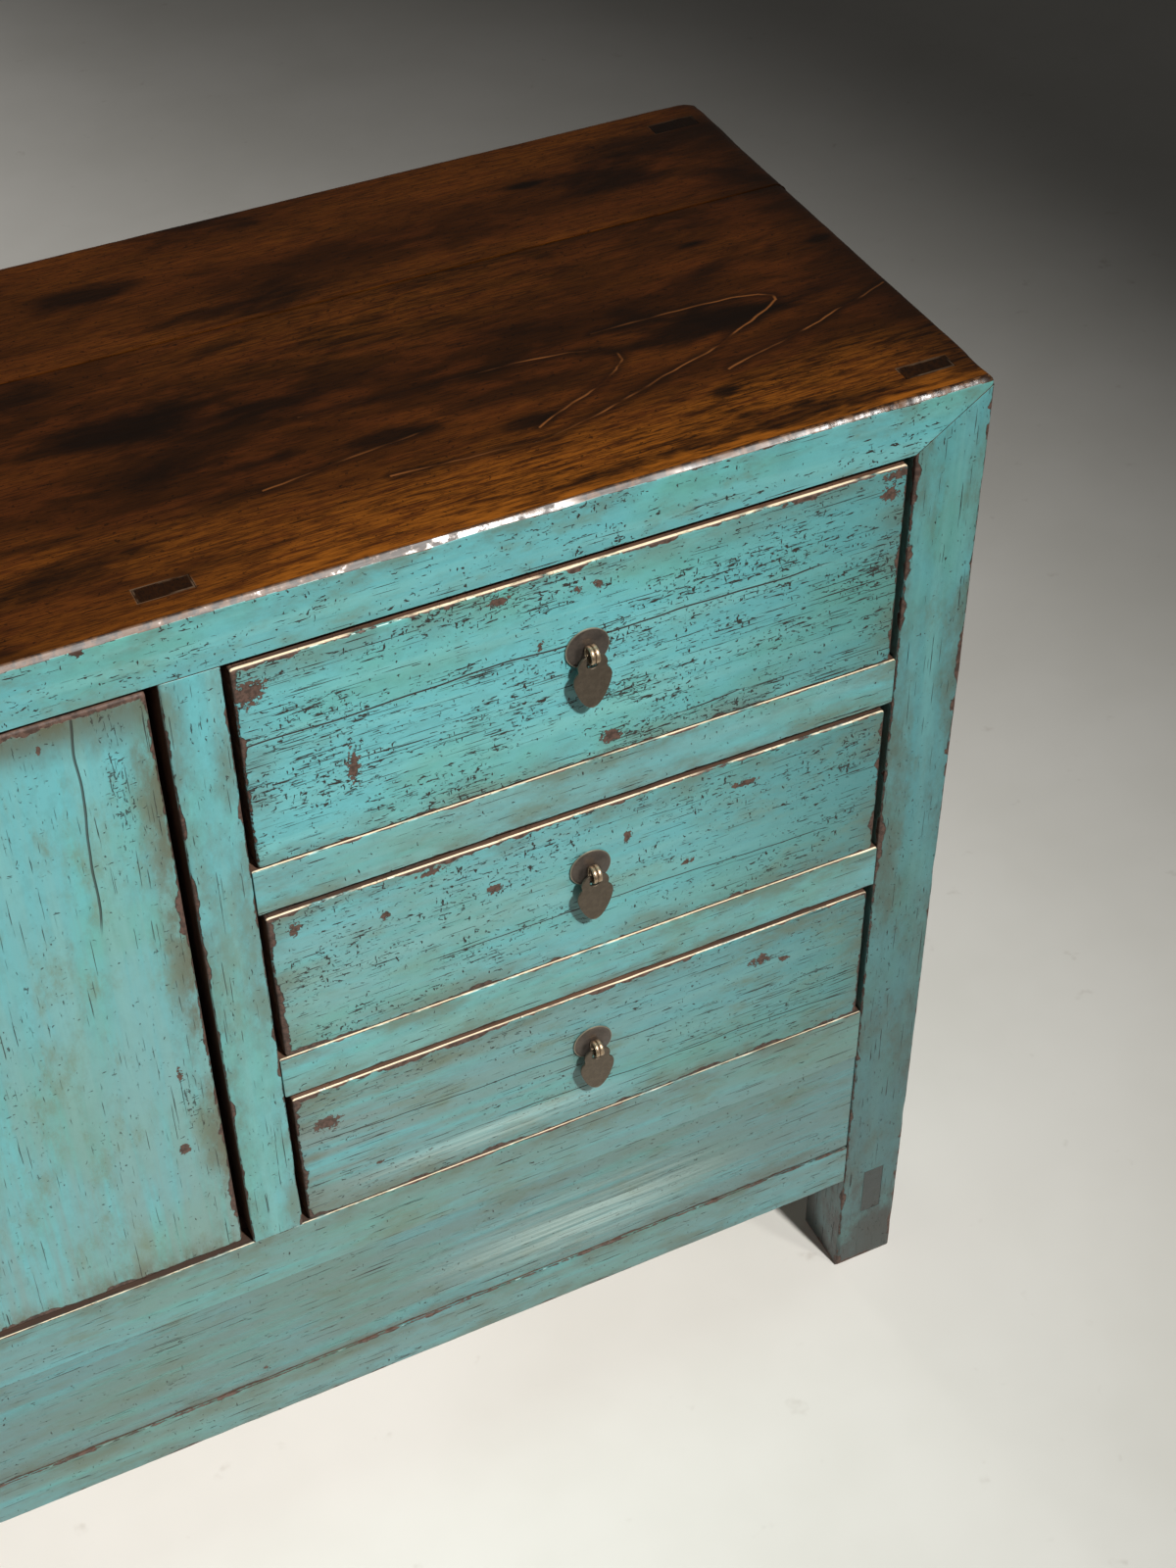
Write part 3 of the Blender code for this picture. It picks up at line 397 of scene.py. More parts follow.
def worn_mesh(axis, outline, front, back, wear, corner, back_wear, seed, wander, rings):
    """A board as a closed mesh: an outline across an axis, worn most at its front face."""
    facing = 1 if front > back else -1
    stops, points, tangents, normals = walk(outline, corner, wear)
    count = len(outline)
    travels = [0.0]
    for (_, _, here), (_, _, there) in zip(stops, stops[1:]):
        travels.append(travels[-1] + (there - here).length)
    corner_travel = {k: travel for (k, share, _), travel in zip(stops, travels) if share == 0.0}

    def wear_at(k, share, travel):
        """Radius of one edge at one place, and how far the edge has strayed inwards."""
        base = base_radius(wear[k], share)
        stray = 0.5 + 0.5 * noise.noise(Vector((travel * 7, seed, 21.5)))
        return worn_radius(base, travel, seed), wander * stray * min(1, base / 0.001)

    rows = [[] for _ in range(2 * len(rings[0]))]
    builder = bmesh.new()
    order = {"X": (2, 0, 1), "Y": (0, 2, 1), "Z": (0, 1, 2)}[axis]
    for (k, share, point), travel in zip(stops, travels):
        last, ahead = (k - 1) % count, (k + 1) % count
        own = wear_at(k, share, travel)
        first_pair = wear_at(last, 1.0, corner_travel[k]), wear_at(k, 0.0, corner_travel[k])
        second_pair = wear_at(ahead, 0.0, corner_travel[ahead]), wear_at(k, 1.0, corner_travel[ahead])
        shares = [(front, -facing, ring) for ring in rings[k]]
        shares += [(back, facing, ring) for ring in reversed(rings[k])]
        for row, (level, down, (inward, drop, extra)) in zip(rows, shares):
            insets = [inward * (radius if level == front else back_wear) + extra + stray
                      for radius, stray in (own, *first_pair, *second_pair)]
            start = corner_pull(tangents[k], normals[k], normals[last], insets[2], insets[1])
            end = corner_pull(tangents[k], normals[k], normals[ahead], insets[4], insets[3])
            flat = point + normals[k] * insets[0] + tangents[k] * (start + (end - start) * share)
            fall = drop * (own[0] if level == front else back_wear)
            if level == front:
                fall = max(fall, round_drop(first_pair[0][0], (flat - points[k]).dot(normals[last])),
                           round_drop(second_pair[0][0], (flat - points[ahead]).dot(normals[ahead])))
            spot = (flat.x, flat.y, level + down * fall)
            row.append(builder.verts.new([spot[i] for i in order]))
    for first, second in zip(rows, rows[1:]):
        bridge(builder, first, second)
    builder.faces.new(rows[0])
    builder.faces.new(rows[-1])
    return close_mesh(builder, "board")


print("rings round each board:", 2 * len(EDGE_RINGS))

# %% [markdown]
# ## Notes on the boards
# The paint has to know where it lies: how far along the grain, and how near to a worn edge. Each
# board carries that as notes on its points. `grain` is the place on the board moved by a seed, so
# that no two boards share a pattern. `place` is the same without the seed, for single marks.
# `spot` and `reach` give the distance to the worn edges only, so a rail shows no wear where it is
# jointed into an upright. Image maps would need unwrapping, and these notes don't.

# %% Board notes
FAR = 1.0


def edge_note(value, low, high, worn):
    """A place and a reach whose difference is the distance to the nearest worn end of a stretch."""
    half = (high - low) / 2
    if worn == "both":
        return value - (low + high) / 2, half
    if worn == "high":
        return value - high + FAR, FAR
    if worn == "low":
        return value - low - FAR, FAR
    return 0.0, FAR


def write_notes(piece, along, depth, facing, box, worn, seed):
    """Store grain, place, spot and reach on every point of a piece."""
    across = 3 - along - depth
    lists = {"grain": [], "place": [], "spot": [], "reach": []}
    order = (along, across, depth)
    low = [box[0][i] for i in order]
    high = [box[1][i] for i in order]
    if facing < 0:
        low[2], high[2] = -high[2], -low[2]
    for vert in piece.data.vertices:
        at = [vert.co[i] for i in order]
        at[2] *= facing
        mid = [at[i] - (low[i] + high[i]) / 2 for i in range(3)]
        notes = [edge_note(at[i], low[i], high[i], worn[i]) for i in range(3)]
        lists["grain"] += [mid[0] + seed * 1.37, mid[1] + seed * 0.73, mid[2] + seed * 0.31]
        lists["place"] += mid
        lists["spot"] += [note[0] for note in notes]
        lists["reach"] += [note[1] for note in notes]
    for name, values in lists.items():
        layer = piece.data.attributes.new(name, "FLOAT_VECTOR", "POINT")
        layer.data.foreach_set("vector", values)


def box_mesh(low, high):
    builder = bmesh.new()
    bmesh.ops.create_cube(builder, size=1.0)
    size = [high[i] - low[i] for i in range(3)]
    centre = [(high[i] + low[i]) / 2 for i in range(3)]
    bmesh.ops.transform(builder, verts=builder.verts, matrix=Matrix.Diagonal((*size, 1.0)))
    bmesh.ops.translate(builder, verts=builder.verts, vec=centre)
    return close_mesh(builder, "block")


def carve(piece, operation, tool_mesh):
    """Join a solid to a piece or take it out of the piece."""
    tool = bpy.data.objects.new("tool", tool_mesh)
    scene.collection.objects.link(tool)
    cut = piece.modifiers.new("carve", "BOOLEAN")
    cut.operation = operation
    cut.solver = "EXACT"
    cut.object = tool
    shaped = bpy.data.meshes.new_from_object(piece.evaluated_get(bpy.context.evaluated_depsgraph_get()))
    piece.modifiers.clear()
    piece.data = shaped
    bpy.data.objects.remove(tool)


SMOOTH_ANGLE = math.radians(50)
BODY_OF = {node: body for body, nodes in frame["record"]["behaviour"]["bodies"].items() for node in nodes}
made = {}


def make_board(node, axis, outline, front, back, wear, grain, worn, corner=0.0012,
               back_wear=0.0005, wander=0.0003, tools=(), rings=(EDGE_RINGS,) * 4):
    """A worn board that stands for one node. Grain is the axis that its fibres follow."""
    seed = len(made) + 1
    mesh = worn_mesh(axis, outline, front, back, wear, corner, back_wear, seed, wander, rings)
    piece = bpy.data.objects.new("worn_" + node, mesh)
    scene.collection.objects.link(piece)
    spots = [Vector(vert.co) for vert in mesh.vertices]
    box = [[pick(spot[i] for spot in spots) for i in range(3)] for pick in (min, max)]
    for operation, tool in tools:
        carve(piece, operation, tool)
    facing = 1 if front > back else -1
    write_notes(piece, "XYZ".index(grain), "XYZ".index(axis), facing, box, worn, seed)
    piece.data.shade_smooth()
    piece.data.set_sharp_from_angle(angle=SMOOTH_ANGLE)
    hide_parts(node)
    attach(piece, BODY_OF[node])
    made[node] = piece
    return piece


# %% [markdown]
# ## Drawer fronts and doors
# These are the loose boards, rubbed on all four edges by use. The drawers' grain runs along the
# case and the doors' grain runs upright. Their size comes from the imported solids, so the gaps round
# them stay as they are in the drawing.

# %% Drawer fronts and doors
SIDES = {"left": -1, "right": 1}
LEVELS = ("top", "middle", "bottom")
ALL_WORN = ("both", "both", "high")
DOOR_GAP = 0.004
# Radius of the lower, right, upper and left edge
DRAWER_WEAR = [0.0013, 0.0016, 0.0018, 0.0016]
DOOR_WEAR = [0.0016, 0.0020, 0.0020, 0.0020]

top_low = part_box("top_front_plank")[0].z
top_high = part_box("top_front_plank")[1].z
rail_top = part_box("lower_front_rail")[1].z
for word in SIDES:
    for level in LEVELS:
        low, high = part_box(f"drawer_front_{word}_{level}")
        make_board(f"drawer_front_{word}_{level}", "Y", oblong((low.x, high.x), (low.z, high.z)),
                   low.y, high.y, DRAWER_WEAR, "X", ALL_WORN, corner=0.0022)
    low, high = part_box(f"door_{word}")
    door_z = (rail_top + DOOR_GAP, top_low - DOOR_GAP)
    make_board(f"door_{word}", "Y", oblong((low.x, high.x), door_z), low.y, high.y, DOOR_WEAR, "Z", ALL_WORN,
               corner=0.0025)
print("loose boards", len(made))

# %% [markdown]
# ## Legs and uprights
# The posts of the front. A front leg ends in a slope, the mitre under the top, and every post has a
# tenon that comes right through the top. The slope and the tenon are cut and joined as solids, the
# way the joiner did it, so the joints show as real lines.

# %% Measures of the joints
TIGHT = 0.0003
FOOT_WEAR = 0.0016
LEG_BACK_WEAR = 0.0012
LEG_WORN = ("low", "both", "both")
BAR_WORN = ("none", "both", "high")
JOINT_GAP = 0.0003
PAST = 0.01
LEG_TENON_X = (0.851, 0.884)
STILE_TENON_X = (0.376, 0.408)
TENON_IN = 0.021
TENON_THICK = 0.012
SIDE_TENON_X = (0.868, 0.885)
SIDE_TENON_Z = (0.063, 0.115)
MITRE_DEPTH = 0.014
MITRE_DROP = 0.005
TENON_ROOT = 0.02

leg_low, leg_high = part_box("leg_front_right")
front_y, leg_back, outer_x, inner_x = leg_low.y, leg_high.y, leg_high.x, leg_low.x
rear_front, back_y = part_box("leg_back_right")[0].y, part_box("leg_back_right")[1].y
stile_in, stile_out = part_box("stile_right")[0].x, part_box("stile_right")[1].x
stile_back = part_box("stile_right")[1].y
front_tenon_y = (front_y + TENON_IN, front_y + TENON_IN + TENON_THICK)
rear_tenon_y = (back_y - TENON_IN - TENON_THICK, back_y - TENON_IN)


def ordered(side, near, far):
    return tuple(sorted((side * near, side * far)))


def slab(side, x, y, z, grow=0.0):
    """A block on one side of the middle, as a mesh."""
    a = ordered(side, *x)
    return box_mesh((a[0] - grow, y[0] - grow, z[0] - grow), (a[1] + grow, y[1] + grow, z[1] + grow))


print("leg", round(outer_x - inner_x, 4), "x", round(leg_back - front_y, 4))

# %% Legs and uprights
for word, side in SIDES.items():
    slope = [(inner_x, 0), (outer_x, 0), (outer_x, top_high - MITRE_DROP), (inner_x, top_low)]
    wear = [FOOT_WEAR, 0.0022, TIGHT, 0.0012]
    if side < 0:
        slope = [(-x, z) for x, z in reversed(slope)]
        wear = [TIGHT, 0.0022, FOOT_WEAR, 0.0012]
    beyond = (inner_x - PAST, outer_x + PAST)
    shoulder = slab(side, beyond, (front_y + MITRE_DEPTH, leg_back + PAST), (top_low - JOINT_GAP, top_high + PAST))
    tenon = slab(side, LEG_TENON_X, front_tenon_y, (top_low - TENON_ROOT, top_high))
    slot = slab(side, SIDE_TENON_X, (front_y - PAST, leg_back + PAST), SIDE_TENON_Z, JOINT_GAP)
    make_board(f"leg_front_{word}", "Y", slope, front_y, leg_back, wear, "Z", LEG_WORN, back_wear=LEG_BACK_WEAR,
               tools=[("DIFFERENCE", shoulder), ("UNION", tenon), ("DIFFERENCE", slot)])
    post = oblong(ordered(side, inner_x, outer_x), (0, top_low - JOINT_GAP))
    tenon = slab(side, LEG_TENON_X, rear_tenon_y, (top_low - TENON_ROOT, top_high))
    slot = slab(side, SIDE_TENON_X, (rear_front - PAST, back_y + PAST), SIDE_TENON_Z, JOINT_GAP)
    make_board(f"leg_back_{word}", "Y", post, back_y, rear_front, [FOOT_WEAR, 0.0018, TIGHT, 0.0018], "Z",
               LEG_WORN, back_wear=LEG_BACK_WEAR, tools=[("UNION", tenon), ("DIFFERENCE", slot)])
    post = oblong(ordered(side, stile_in, stile_out), (rail_top, top_low - JOINT_GAP))
    tenon = slab(side, STILE_TENON_X, front_tenon_y, (top_low - TENON_ROOT, top_high))
    make_board(f"stile_{word}", "Y", post, front_y, stile_back, [TIGHT, 0.0014, TIGHT, 0.0014], "Z",
               BAR_WORN, tools=[("UNION", tenon)])
print("posts", [name for name in made if name.startswith(("leg", "stile"))])

# %% [markdown]
# ## Rails and panels
# The rails close the openings, the sunk panel fills the space under them, and each end has a panel
# over a heavy rail. Only the edges that face an opening are rubbed. The side rail's tenons come out
# flush on the leg's faces.

# %% Rails and panels
def front_bar(node, x, wear, worn, inset=0.0, z=None):
    low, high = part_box(node)
    heights = z or (low.z, high.z)
    make_board(node, "Y", oblong(x, heights), front_y + inset, high.y, wear, "X", worn)


PANEL_INSET = 0.001
PANEL_GROOVE = 0.0012
rail_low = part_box("lower_front_rail")[0].z
panel_z = (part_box("bottom_front_rail")[1].z + PANEL_GROOVE, rail_low - JOINT_GAP)
between_legs = (JOINT_GAP - inner_x, inner_x - JOINT_GAP)
front_bar("lower_front_rail", between_legs, [TIGHT, TIGHT, 0.0011, TIGHT], ("none", "high", "high"))
front_bar("front_panel", between_legs, [0.0007, TIGHT, TIGHT, TIGHT], ("none", "low", "high"), PANEL_INSET,
          panel_z)
front_bar("bottom_front_rail", between_legs, [0.0014, TIGHT, 0.0009, TIGHT], BAR_WORN)
for word, side in SIDES.items():
    for level in ("upper", "lower"):
        span = ordered(side, stile_out + JOINT_GAP, inner_x - JOINT_GAP)
        front_bar(f"drawer_rail_{word}_{level}", span, [0.0011, TIGHT, 0.0012, TIGHT], BAR_WORN)
    low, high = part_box(f"side_panel_{word}")
    face, inside = (high.x, low.x) if side > 0 else (low.x, high.x)
    make_board(f"side_panel_{word}", "X", oblong((low.y, high.y), (low.z, high.z)), face, inside,
               [TIGHT] * 4, "Z", ("none", "none", "high"))
    low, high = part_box(f"side_rail_{word}")
    face, inside = (high.x, low.x) if side > 0 else (low.x, high.x)
    tenon = slab(side, SIDE_TENON_X, (front_y, back_y), SIDE_TENON_Z)
    between = (leg_back + JOINT_GAP, rear_front - JOINT_GAP)
    make_board(f"side_rail_{word}", "X", oblong(between, (low.z, high.z)), face, inside,
               [0.0015, TIGHT, 0.0012, TIGHT], "Y", BAR_WORN, tools=[("UNION", tenon)])
print("boards so far", len(made))

# %% [markdown]
# ## The top
# Two planks edge to edge. The front edge is rubbed to a silky round, and the ends are worn far more,
# most of all towards the back. The front plank is cut for the mitres and for the tenons of the
# posts, and its front face is painted with the rest of the front, so its faces get one of two
# finishes by the way they face.

# %% The top
MITRE_GAP = 0.0008
SEAM = 0.00004
SEAM_GAP = 0.0001
PLAIN_CORNER = 0.0006
# The front edge is rubbed to a slanting face, the other edges to a plain round
SLANT_RINGS = ((1, 0, FLAT_RING), (1, 0, 0), (0.72, 0.07, 0), (0.64, 0.13, 0),
               (0.13, 0.64, 0), (0.07, 0.72, 0), (0, 1, 0))
FINE_RINGS = ((1, 0, FLAT_RING), (1, 0, 0), (0.76, 0.029, 0), (0.5, 0.134, 0),
              (0.134, 0.5, 0), (0.029, 0.76, 0), (0, 1, 0))


def wedge_mesh(side):
    """The corner under the mitre that the front plank leaves to the leg."""
    slope = (top_high - MITRE_DROP - top_low) / (outer_x - inner_x)
    start = inner_x - (PAST + MITRE_GAP) / slope
    end = outer_x + PAST
    corners = [(start, top_low - PAST), (end, top_low - PAST),
               (end, top_low + MITRE_GAP + slope * (end - inner_x))]
    builder = bmesh.new()
    near = [builder.verts.new((side * x, front_y - PAST, z)) for x, z in corners]
    far = [builder.verts.new((side * x, front_y + MITRE_DEPTH + JOINT_GAP, z)) for x, z in corners]
    builder.faces.new(near)
    builder.faces.new(far)
    bridge(builder, near, far)
    return close_mesh(builder, "wedge")


seam_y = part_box("top_front_plank")[1].y
through = (top_low - PAST, top_high + PAST)
front_tools = []
rear_tools = []
for side in SIDES.values():
    front_tools.append(("DIFFERENCE", wedge_mesh(side)))
    for stretch in (LEG_TENON_X, STILE_TENON_X):
        front_tools.append(("DIFFERENCE", slab(side, stretch, front_tenon_y, through, JOINT_GAP)))
    rear_tools.append(("DIFFERENCE", slab(side, LEG_TENON_X, rear_tenon_y, through, JOINT_GAP)))
make_board("top_front_plank", "Z", oblong((-outer_x, outer_x), (front_y, seam_y)), top_high, top_low,
           [0.0040, (0.0040, 0.0075, 0.0105), SEAM, (0.0105, 0.0075, 0.0040)], "X", ("both", "low", "high"),
           corner=(0.0030, 0.0030, PLAIN_CORNER, PLAIN_CORNER), tools=front_tools,
           rings=(SLANT_RINGS, FINE_RINGS, FINE_RINGS, FINE_RINGS))
make_board("top_rear_plank", "Z", oblong((-outer_x, outer_x), (seam_y + SEAM_GAP, back_y)), top_high, top_low,
           [SEAM, (0.0105, 0.0120, 0.0090), 0.0045, (0.0090, 0.0120, 0.0105)], "X", ("both", "high", "high"),
           corner=(PLAIN_CORNER, PLAIN_CORNER, 0.0120, 0.0120), tools=rear_tools, rings=(FINE_RINGS,) * 4)
print("boards", len(made), "points", sum(len(piece.data.vertices) for piece in made.values()))

# %% [markdown]
# ## Turquoise lacquer
# The paint is a thin, satin coat over a brown ground. Age shows in four ways: clouds of greener and
# bluer paint with grey-olive grime on them, short dark flecks that follow the grain in crowds, long
# hairline cracks, and worn edges where first the brown ground and then the bare wood come through.
# On upper edges that bare wood is painted paler still, as a painted highlight.
# Each is a mask of its own, laid over the coat in that order. A painted image would look right from
# one side only, but masks that read the boards' notes fit every board.

# %% Lacquer colours and masks
TURQUOISE = colour(98, 175, 181)
SEA_GREEN = colour(97, 167, 159)
DEEP_COAT = colour(66, 114, 112)
PALE_COAT = colour(128, 194, 192)
GRIME = colour(104, 120, 96)
OLIVE_GRIME_AND_SHADE = colour(88, 88, 68)
DUST_AND_SHEEN_GREY = colour(118, 130, 124)
DARKENING_TONE = colour(46, 45, 42)
FLECK = colour(44, 42, 38)
GROUND = colour(92, 70, 60)
DARK_GROUND = colour(62, 46, 38)
BARE_WOOD_GLINT = colour(240, 221, 188)
OLD_WOOD = colour(92, 66, 50)
DARK_WOOD = colour(58, 42, 32)
# Depths behind the painted face where the bare strip of a rubbed edge starts and is full; on upper
# edges the strip is painted pale as a highlight
RUB_START = 0.0004
RUB_FULL = 0.0009


def worn_distances(f):
    """Distances to the nearest worn edge, to the front face and to the upper face."""
    spot = f.note("spot")
    reach = f.note("reach")
    inside = f.vector("SUBTRACT", reach, f.vector("ABSOLUTE", spot))
    x, y, z = f.parts(inside)
    wide = f.most(x, y)
    edge = f.most(f.least(x, y), f.least(wide, z))
    upper = f.minus(f.parts(reach)[1], f.parts(spot)[1])
    return edge, z, upper


def chip_mask(f, place, rag, chips, outside=1.05, inside=0.95):
    """Ragged ovals at given places: along, across, half length, half width."""
    masks = [0.0]
    for along, across, half_along, half_across in chips:
        moved = f.shift(place, -along, -across, 0)
        away = f.vector("LENGTH", f.stretch(moved, 1 / half_along, 1 / half_across, 0))
        masks.append(f.step(f.plus(away, rag), outside, inside))
    return f.most(*masks)


def crack_mask(f, place, sway, cracks):
    """Hairlines along the grain: start and end along, start and end across, half width."""
    masks = [0.0]
    along, across, _ = f.parts(place)
    bend = f.times(f.minus(sway, 0.5), 0.010)
    for start, end, low, high, half in cracks:
        slope = (high - low) / (end - start)
        line = f.ramp(along, slope, low - slope * start)
        away = f.size(f.minus(across, f.plus(line, bend)))
        ends = f.times(f.step(along, start, start + 0.02), f.step(along, end, end - 0.02))
        masks.append(f.times(f.step(away, half, half * 0.4), ends))
    return f.most(*masks)


print("lacquer colours", [round(v, 3) for v in TURQUOISE[:3]])

# %% Lacquer
def lacquer(name, fleck, line, grime, dust_and_sheen, chips=(), cracks=(), painted_sheen=(), crowds=(), wear=1.0, rim=0.5,
            darkening=0.0, gloss=0.27, bare_glint=1.0, deepen_along=0.0, deep=0.7, crown=0.0, pale=0.4, ink=1.0, upright=False,
            all_round=False, foot=False, ground=GROUND):
    """Worn turquoise lacquer. The first four values say how much it shows of flecks, hairlines, grime, and a grey
    that is partly dust and partly painted sheen.
    """
    f = Finish(name)
    grain = f.note("grain")
    place = f.note("place")
    edge, depth, upper = worn_distances(f)
    warp = f.cloud(grain, 300, 3.0, 0.65)
    slow = f.cloud(grain, 26, 3.0, 0.6)
    sway = f.cloud(grain, (12, 2, 2), 2.0)
    rag = f.times(f.minus(f.ramp(slow, 0.8, warp), 0.9), 3.6)

    # The coat: bluer and greener clouds, pale streaks, a grey that is partly dust and partly painted sheen, grime
    # and, low down, a darker tone that is partly dirt and partly painted shade
    patch = f.cloud(grain, (6, 10, 10), 4.0, 0.6)
    streak = f.cloud(grain, (4, 80, 80), 4.0, 0.6)
    dirt = f.cloud(grain, (16, 34, 34), 6.0, 0.7)
    coat = f.mix(f.step(patch, 0.42, 0.66), TURQUOISE, SEA_GREEN)
    mottle = f.cloud(grain, (70, 110, 110), 5.0, 0.65)
    coat = f.lay(coat, DEEP_COAT, f.step(mottle, 0.44, 0.62), 0.16)
    coat = f.lay(coat, PALE_COAT, f.step(streak, 0.45, 0.7), pale)
    # A deeper, less grey coat towards the far end of the grain: the right end of a drawer, the top of a door
    if deepen_along:
        coat = f.lay(coat, DEEP_COAT, f.step(f.parts(place)[0], 0.0, deepen_along), deep)
        dust_and_sheen = f.times(f.step(f.parts(place)[0], deepen_along, -deepen_along), dust_and_sheen)
    # Grey over the streaks, strongest on the lower boards: partly dust, partly painted sheen of the bright floor
    coat = f.lay(coat, DUST_AND_SHEEN_GREY, f.step(streak, 0.25, 0.6), dust_and_sheen)
    coat = f.lay(coat, GRIME, f.step(dirt, 0.48, 0.72), grime)
    near_edge = f.times(f.step(edge, 0.026, 0.0), f.step(dirt, 0.34, 0.60))
    coat = f.lay(coat, OLIVE_GRIME_AND_SHADE, near_edge, rim)
    # A darker olive band below the upper end of the board, painted shade under the top, and a wider rubbed edge
    # there
    if crown:
        under = f.minus(f.parts(f.note("reach"))[0], f.parts(f.note("spot"))[0])
        coat = f.lay(coat, OLIVE_GRIME_AND_SHADE, f.step(f.ramp(dirt, 0.06, under), 0.068, 0.034), crown)
    # Darker towards the foot in two stages: partly dirt, partly painted shade
    if foot:
        low_end = f.ramp(dirt, -0.30, f.parts(place)[0])
        darkening = f.ramp(f.step(low_end, 0.25, -0.45), 0.66 - darkening, darkening)
        darkening = f.ramp(f.step(low_end, -0.48, -0.55), 0.28, darkening)
    coat = f.mix(darkening, coat, DARKENING_TONE)

    # Flecks in crowds, and hairlines along the grain
    crowd = f.step(f.cloud(grain, (14, 34, 34), 4.0, 0.65), 0.40, 0.60)
    limit = f.ramp(crowd, -0.025 - 0.060 * fleck, 0.705 - 0.040 * fleck)
    if crowds:
        limit = f.ramp(chip_mask(f, place, 0.0, crowds, 1.3, 0.3), -0.085, limit)
    grit = f.cloud(grain, (210, 430, 430), 3.0, 0.6, 0.5)
    dash = f.cloud(grain, (70, 560, 560), 3.0, 0.6)
    cross = f.cloud(grain, (460, 150, 150), 2.0, 0.6)
    strongest = f.most(grit, f.minus(dash, 0.008), f.minus(cross, 0.035))
    flecks = f.step(f.minus(strongest, limit), 0.0, 0.03)
    long_crowd = f.step(f.cloud(grain, (4, 26, 26), 2.0), 0.42, 0.65)
    hair = f.cloud(grain, (20, 800, 800), 2.0, 0.55)
    hair_limit = f.ramp(long_crowd, -0.085 * line, 0.70 - 0.05 * line)
    lines = f.step(f.minus(hair, hair_limit), 0.0, 0.03)
    lines = f.most(lines, crack_mask(f, place, sway, cracks))

    # Chips, rubbed edges, the raw wood behind the painted face, and a bare strip on upper edges painted pale as a
    # highlight
    cell, pick = f.cells(f.stretch(grain, 24, 24, 24))
    chosen = f.step(f.parts(pick)[0], 0.86, 0.88)
    loose_chip = f.step(f.ramp(rag, 0.05, cell), 0.085, 0.075)
    spots = f.most(f.times(loose_chip, chosen), chip_mask(f, place, rag, chips))
    nibble = f.cloud(grain, (110, 170, 170), 4.0, 0.6)
    rubbed = f.ramp(f.step(slow, 0.50, 0.66), 0.0034 * wear, 0.0008 * wear)
    if crown:
        rubbed = f.ramp(f.step(under, 0.012, 0.004), 0.0022, rubbed)
    ragged = f.ramp(f.minus(nibble, 0.5), 0.006 * wear, edge)
    loss = f.step(f.minus(ragged, rubbed), 0.0004, -0.0002)
    worn_ground = f.mix(f.step(warp, 0.4, 0.6), ground, DARK_GROUND)
    base = f.lay(coat, FLECK, f.most(flecks, lines), ink)
    base = f.mix(f.most(spots, loss), base, worn_ground)
    raw = 0.0
    if not all_round:
        raw = f.step(f.ramp(warp, 0.002, depth), 0.0022, 0.0028)
        base = f.mix(raw, base, f.mix(f.step(streak, 0.4, 0.6), OLD_WOOD, DARK_WOOD))
        # A bare strip on the upper edge, painted pale as a highlight
        if bare_glint and not upright:
            rise = f.step(depth, RUB_START, RUB_FULL)
            fall = f.step(depth, RUB_FULL + 0.0015 * bare_glint, RUB_FULL + 0.0008 * bare_glint)
            glint_strip = f.times(f.times(rise, fall), f.step(upper, 0.0018, 0.0010))
            base = f.lay(base, BARE_WOOD_GLINT, glint_strip, f.step(slow, 0.35, 0.49))

    gone = f.most(flecks, lines, spots, loss)
    rough = f.ramp(gone, 0.30, f.ramp(streak, 0.24, gloss - 0.05))
    # Painted sheen: a pale, streaked patch laid into the colour where the paint reflects the bright floor, with
    # lower roughness
    if painted_sheen:
        sheen_streaks = f.step(f.cloud(grain, (5, 240, 240), 4.0, 0.65), 0.36, 0.62)
        shine = f.times(chip_mask(f, place, 0.0, painted_sheen, 1.6, 0.1), sheen_streaks)
        base = f.lay(base, colour(196, 222, 216), shine, 0.48)
        rough = f.ramp(shine, -0.12, rough)
    relief = f.ramp(gone, -0.8, f.times(streak, 0.4))
    relief = f.ramp(dirt, 0.4, relief)
    f.bump(relief, 0.0010)
    return f.dress(base, f.ramp(raw, 0.25, rough), Specular_IOR_Level=0.5)


def wear_finish(node, finish):
    made[node].data.materials.clear()
    made[node].data.materials.append(finish)


print("lacquer recipe ready")

# %% [markdown]
# ## Which board wears what
# The three drawers of a bank differ: the upper one is the most flecked and has a long crack behind
# its pull, the lower ones are smoother, duller and glossier. The other bank is worn in its own way,
# so its marks are mirrored and thinned. The legs grow darker towards the foot, partly with dirt and
# partly as painted shade.

# %% Lacquer on the boards
FACING = 0.9
SKIN = 0.001
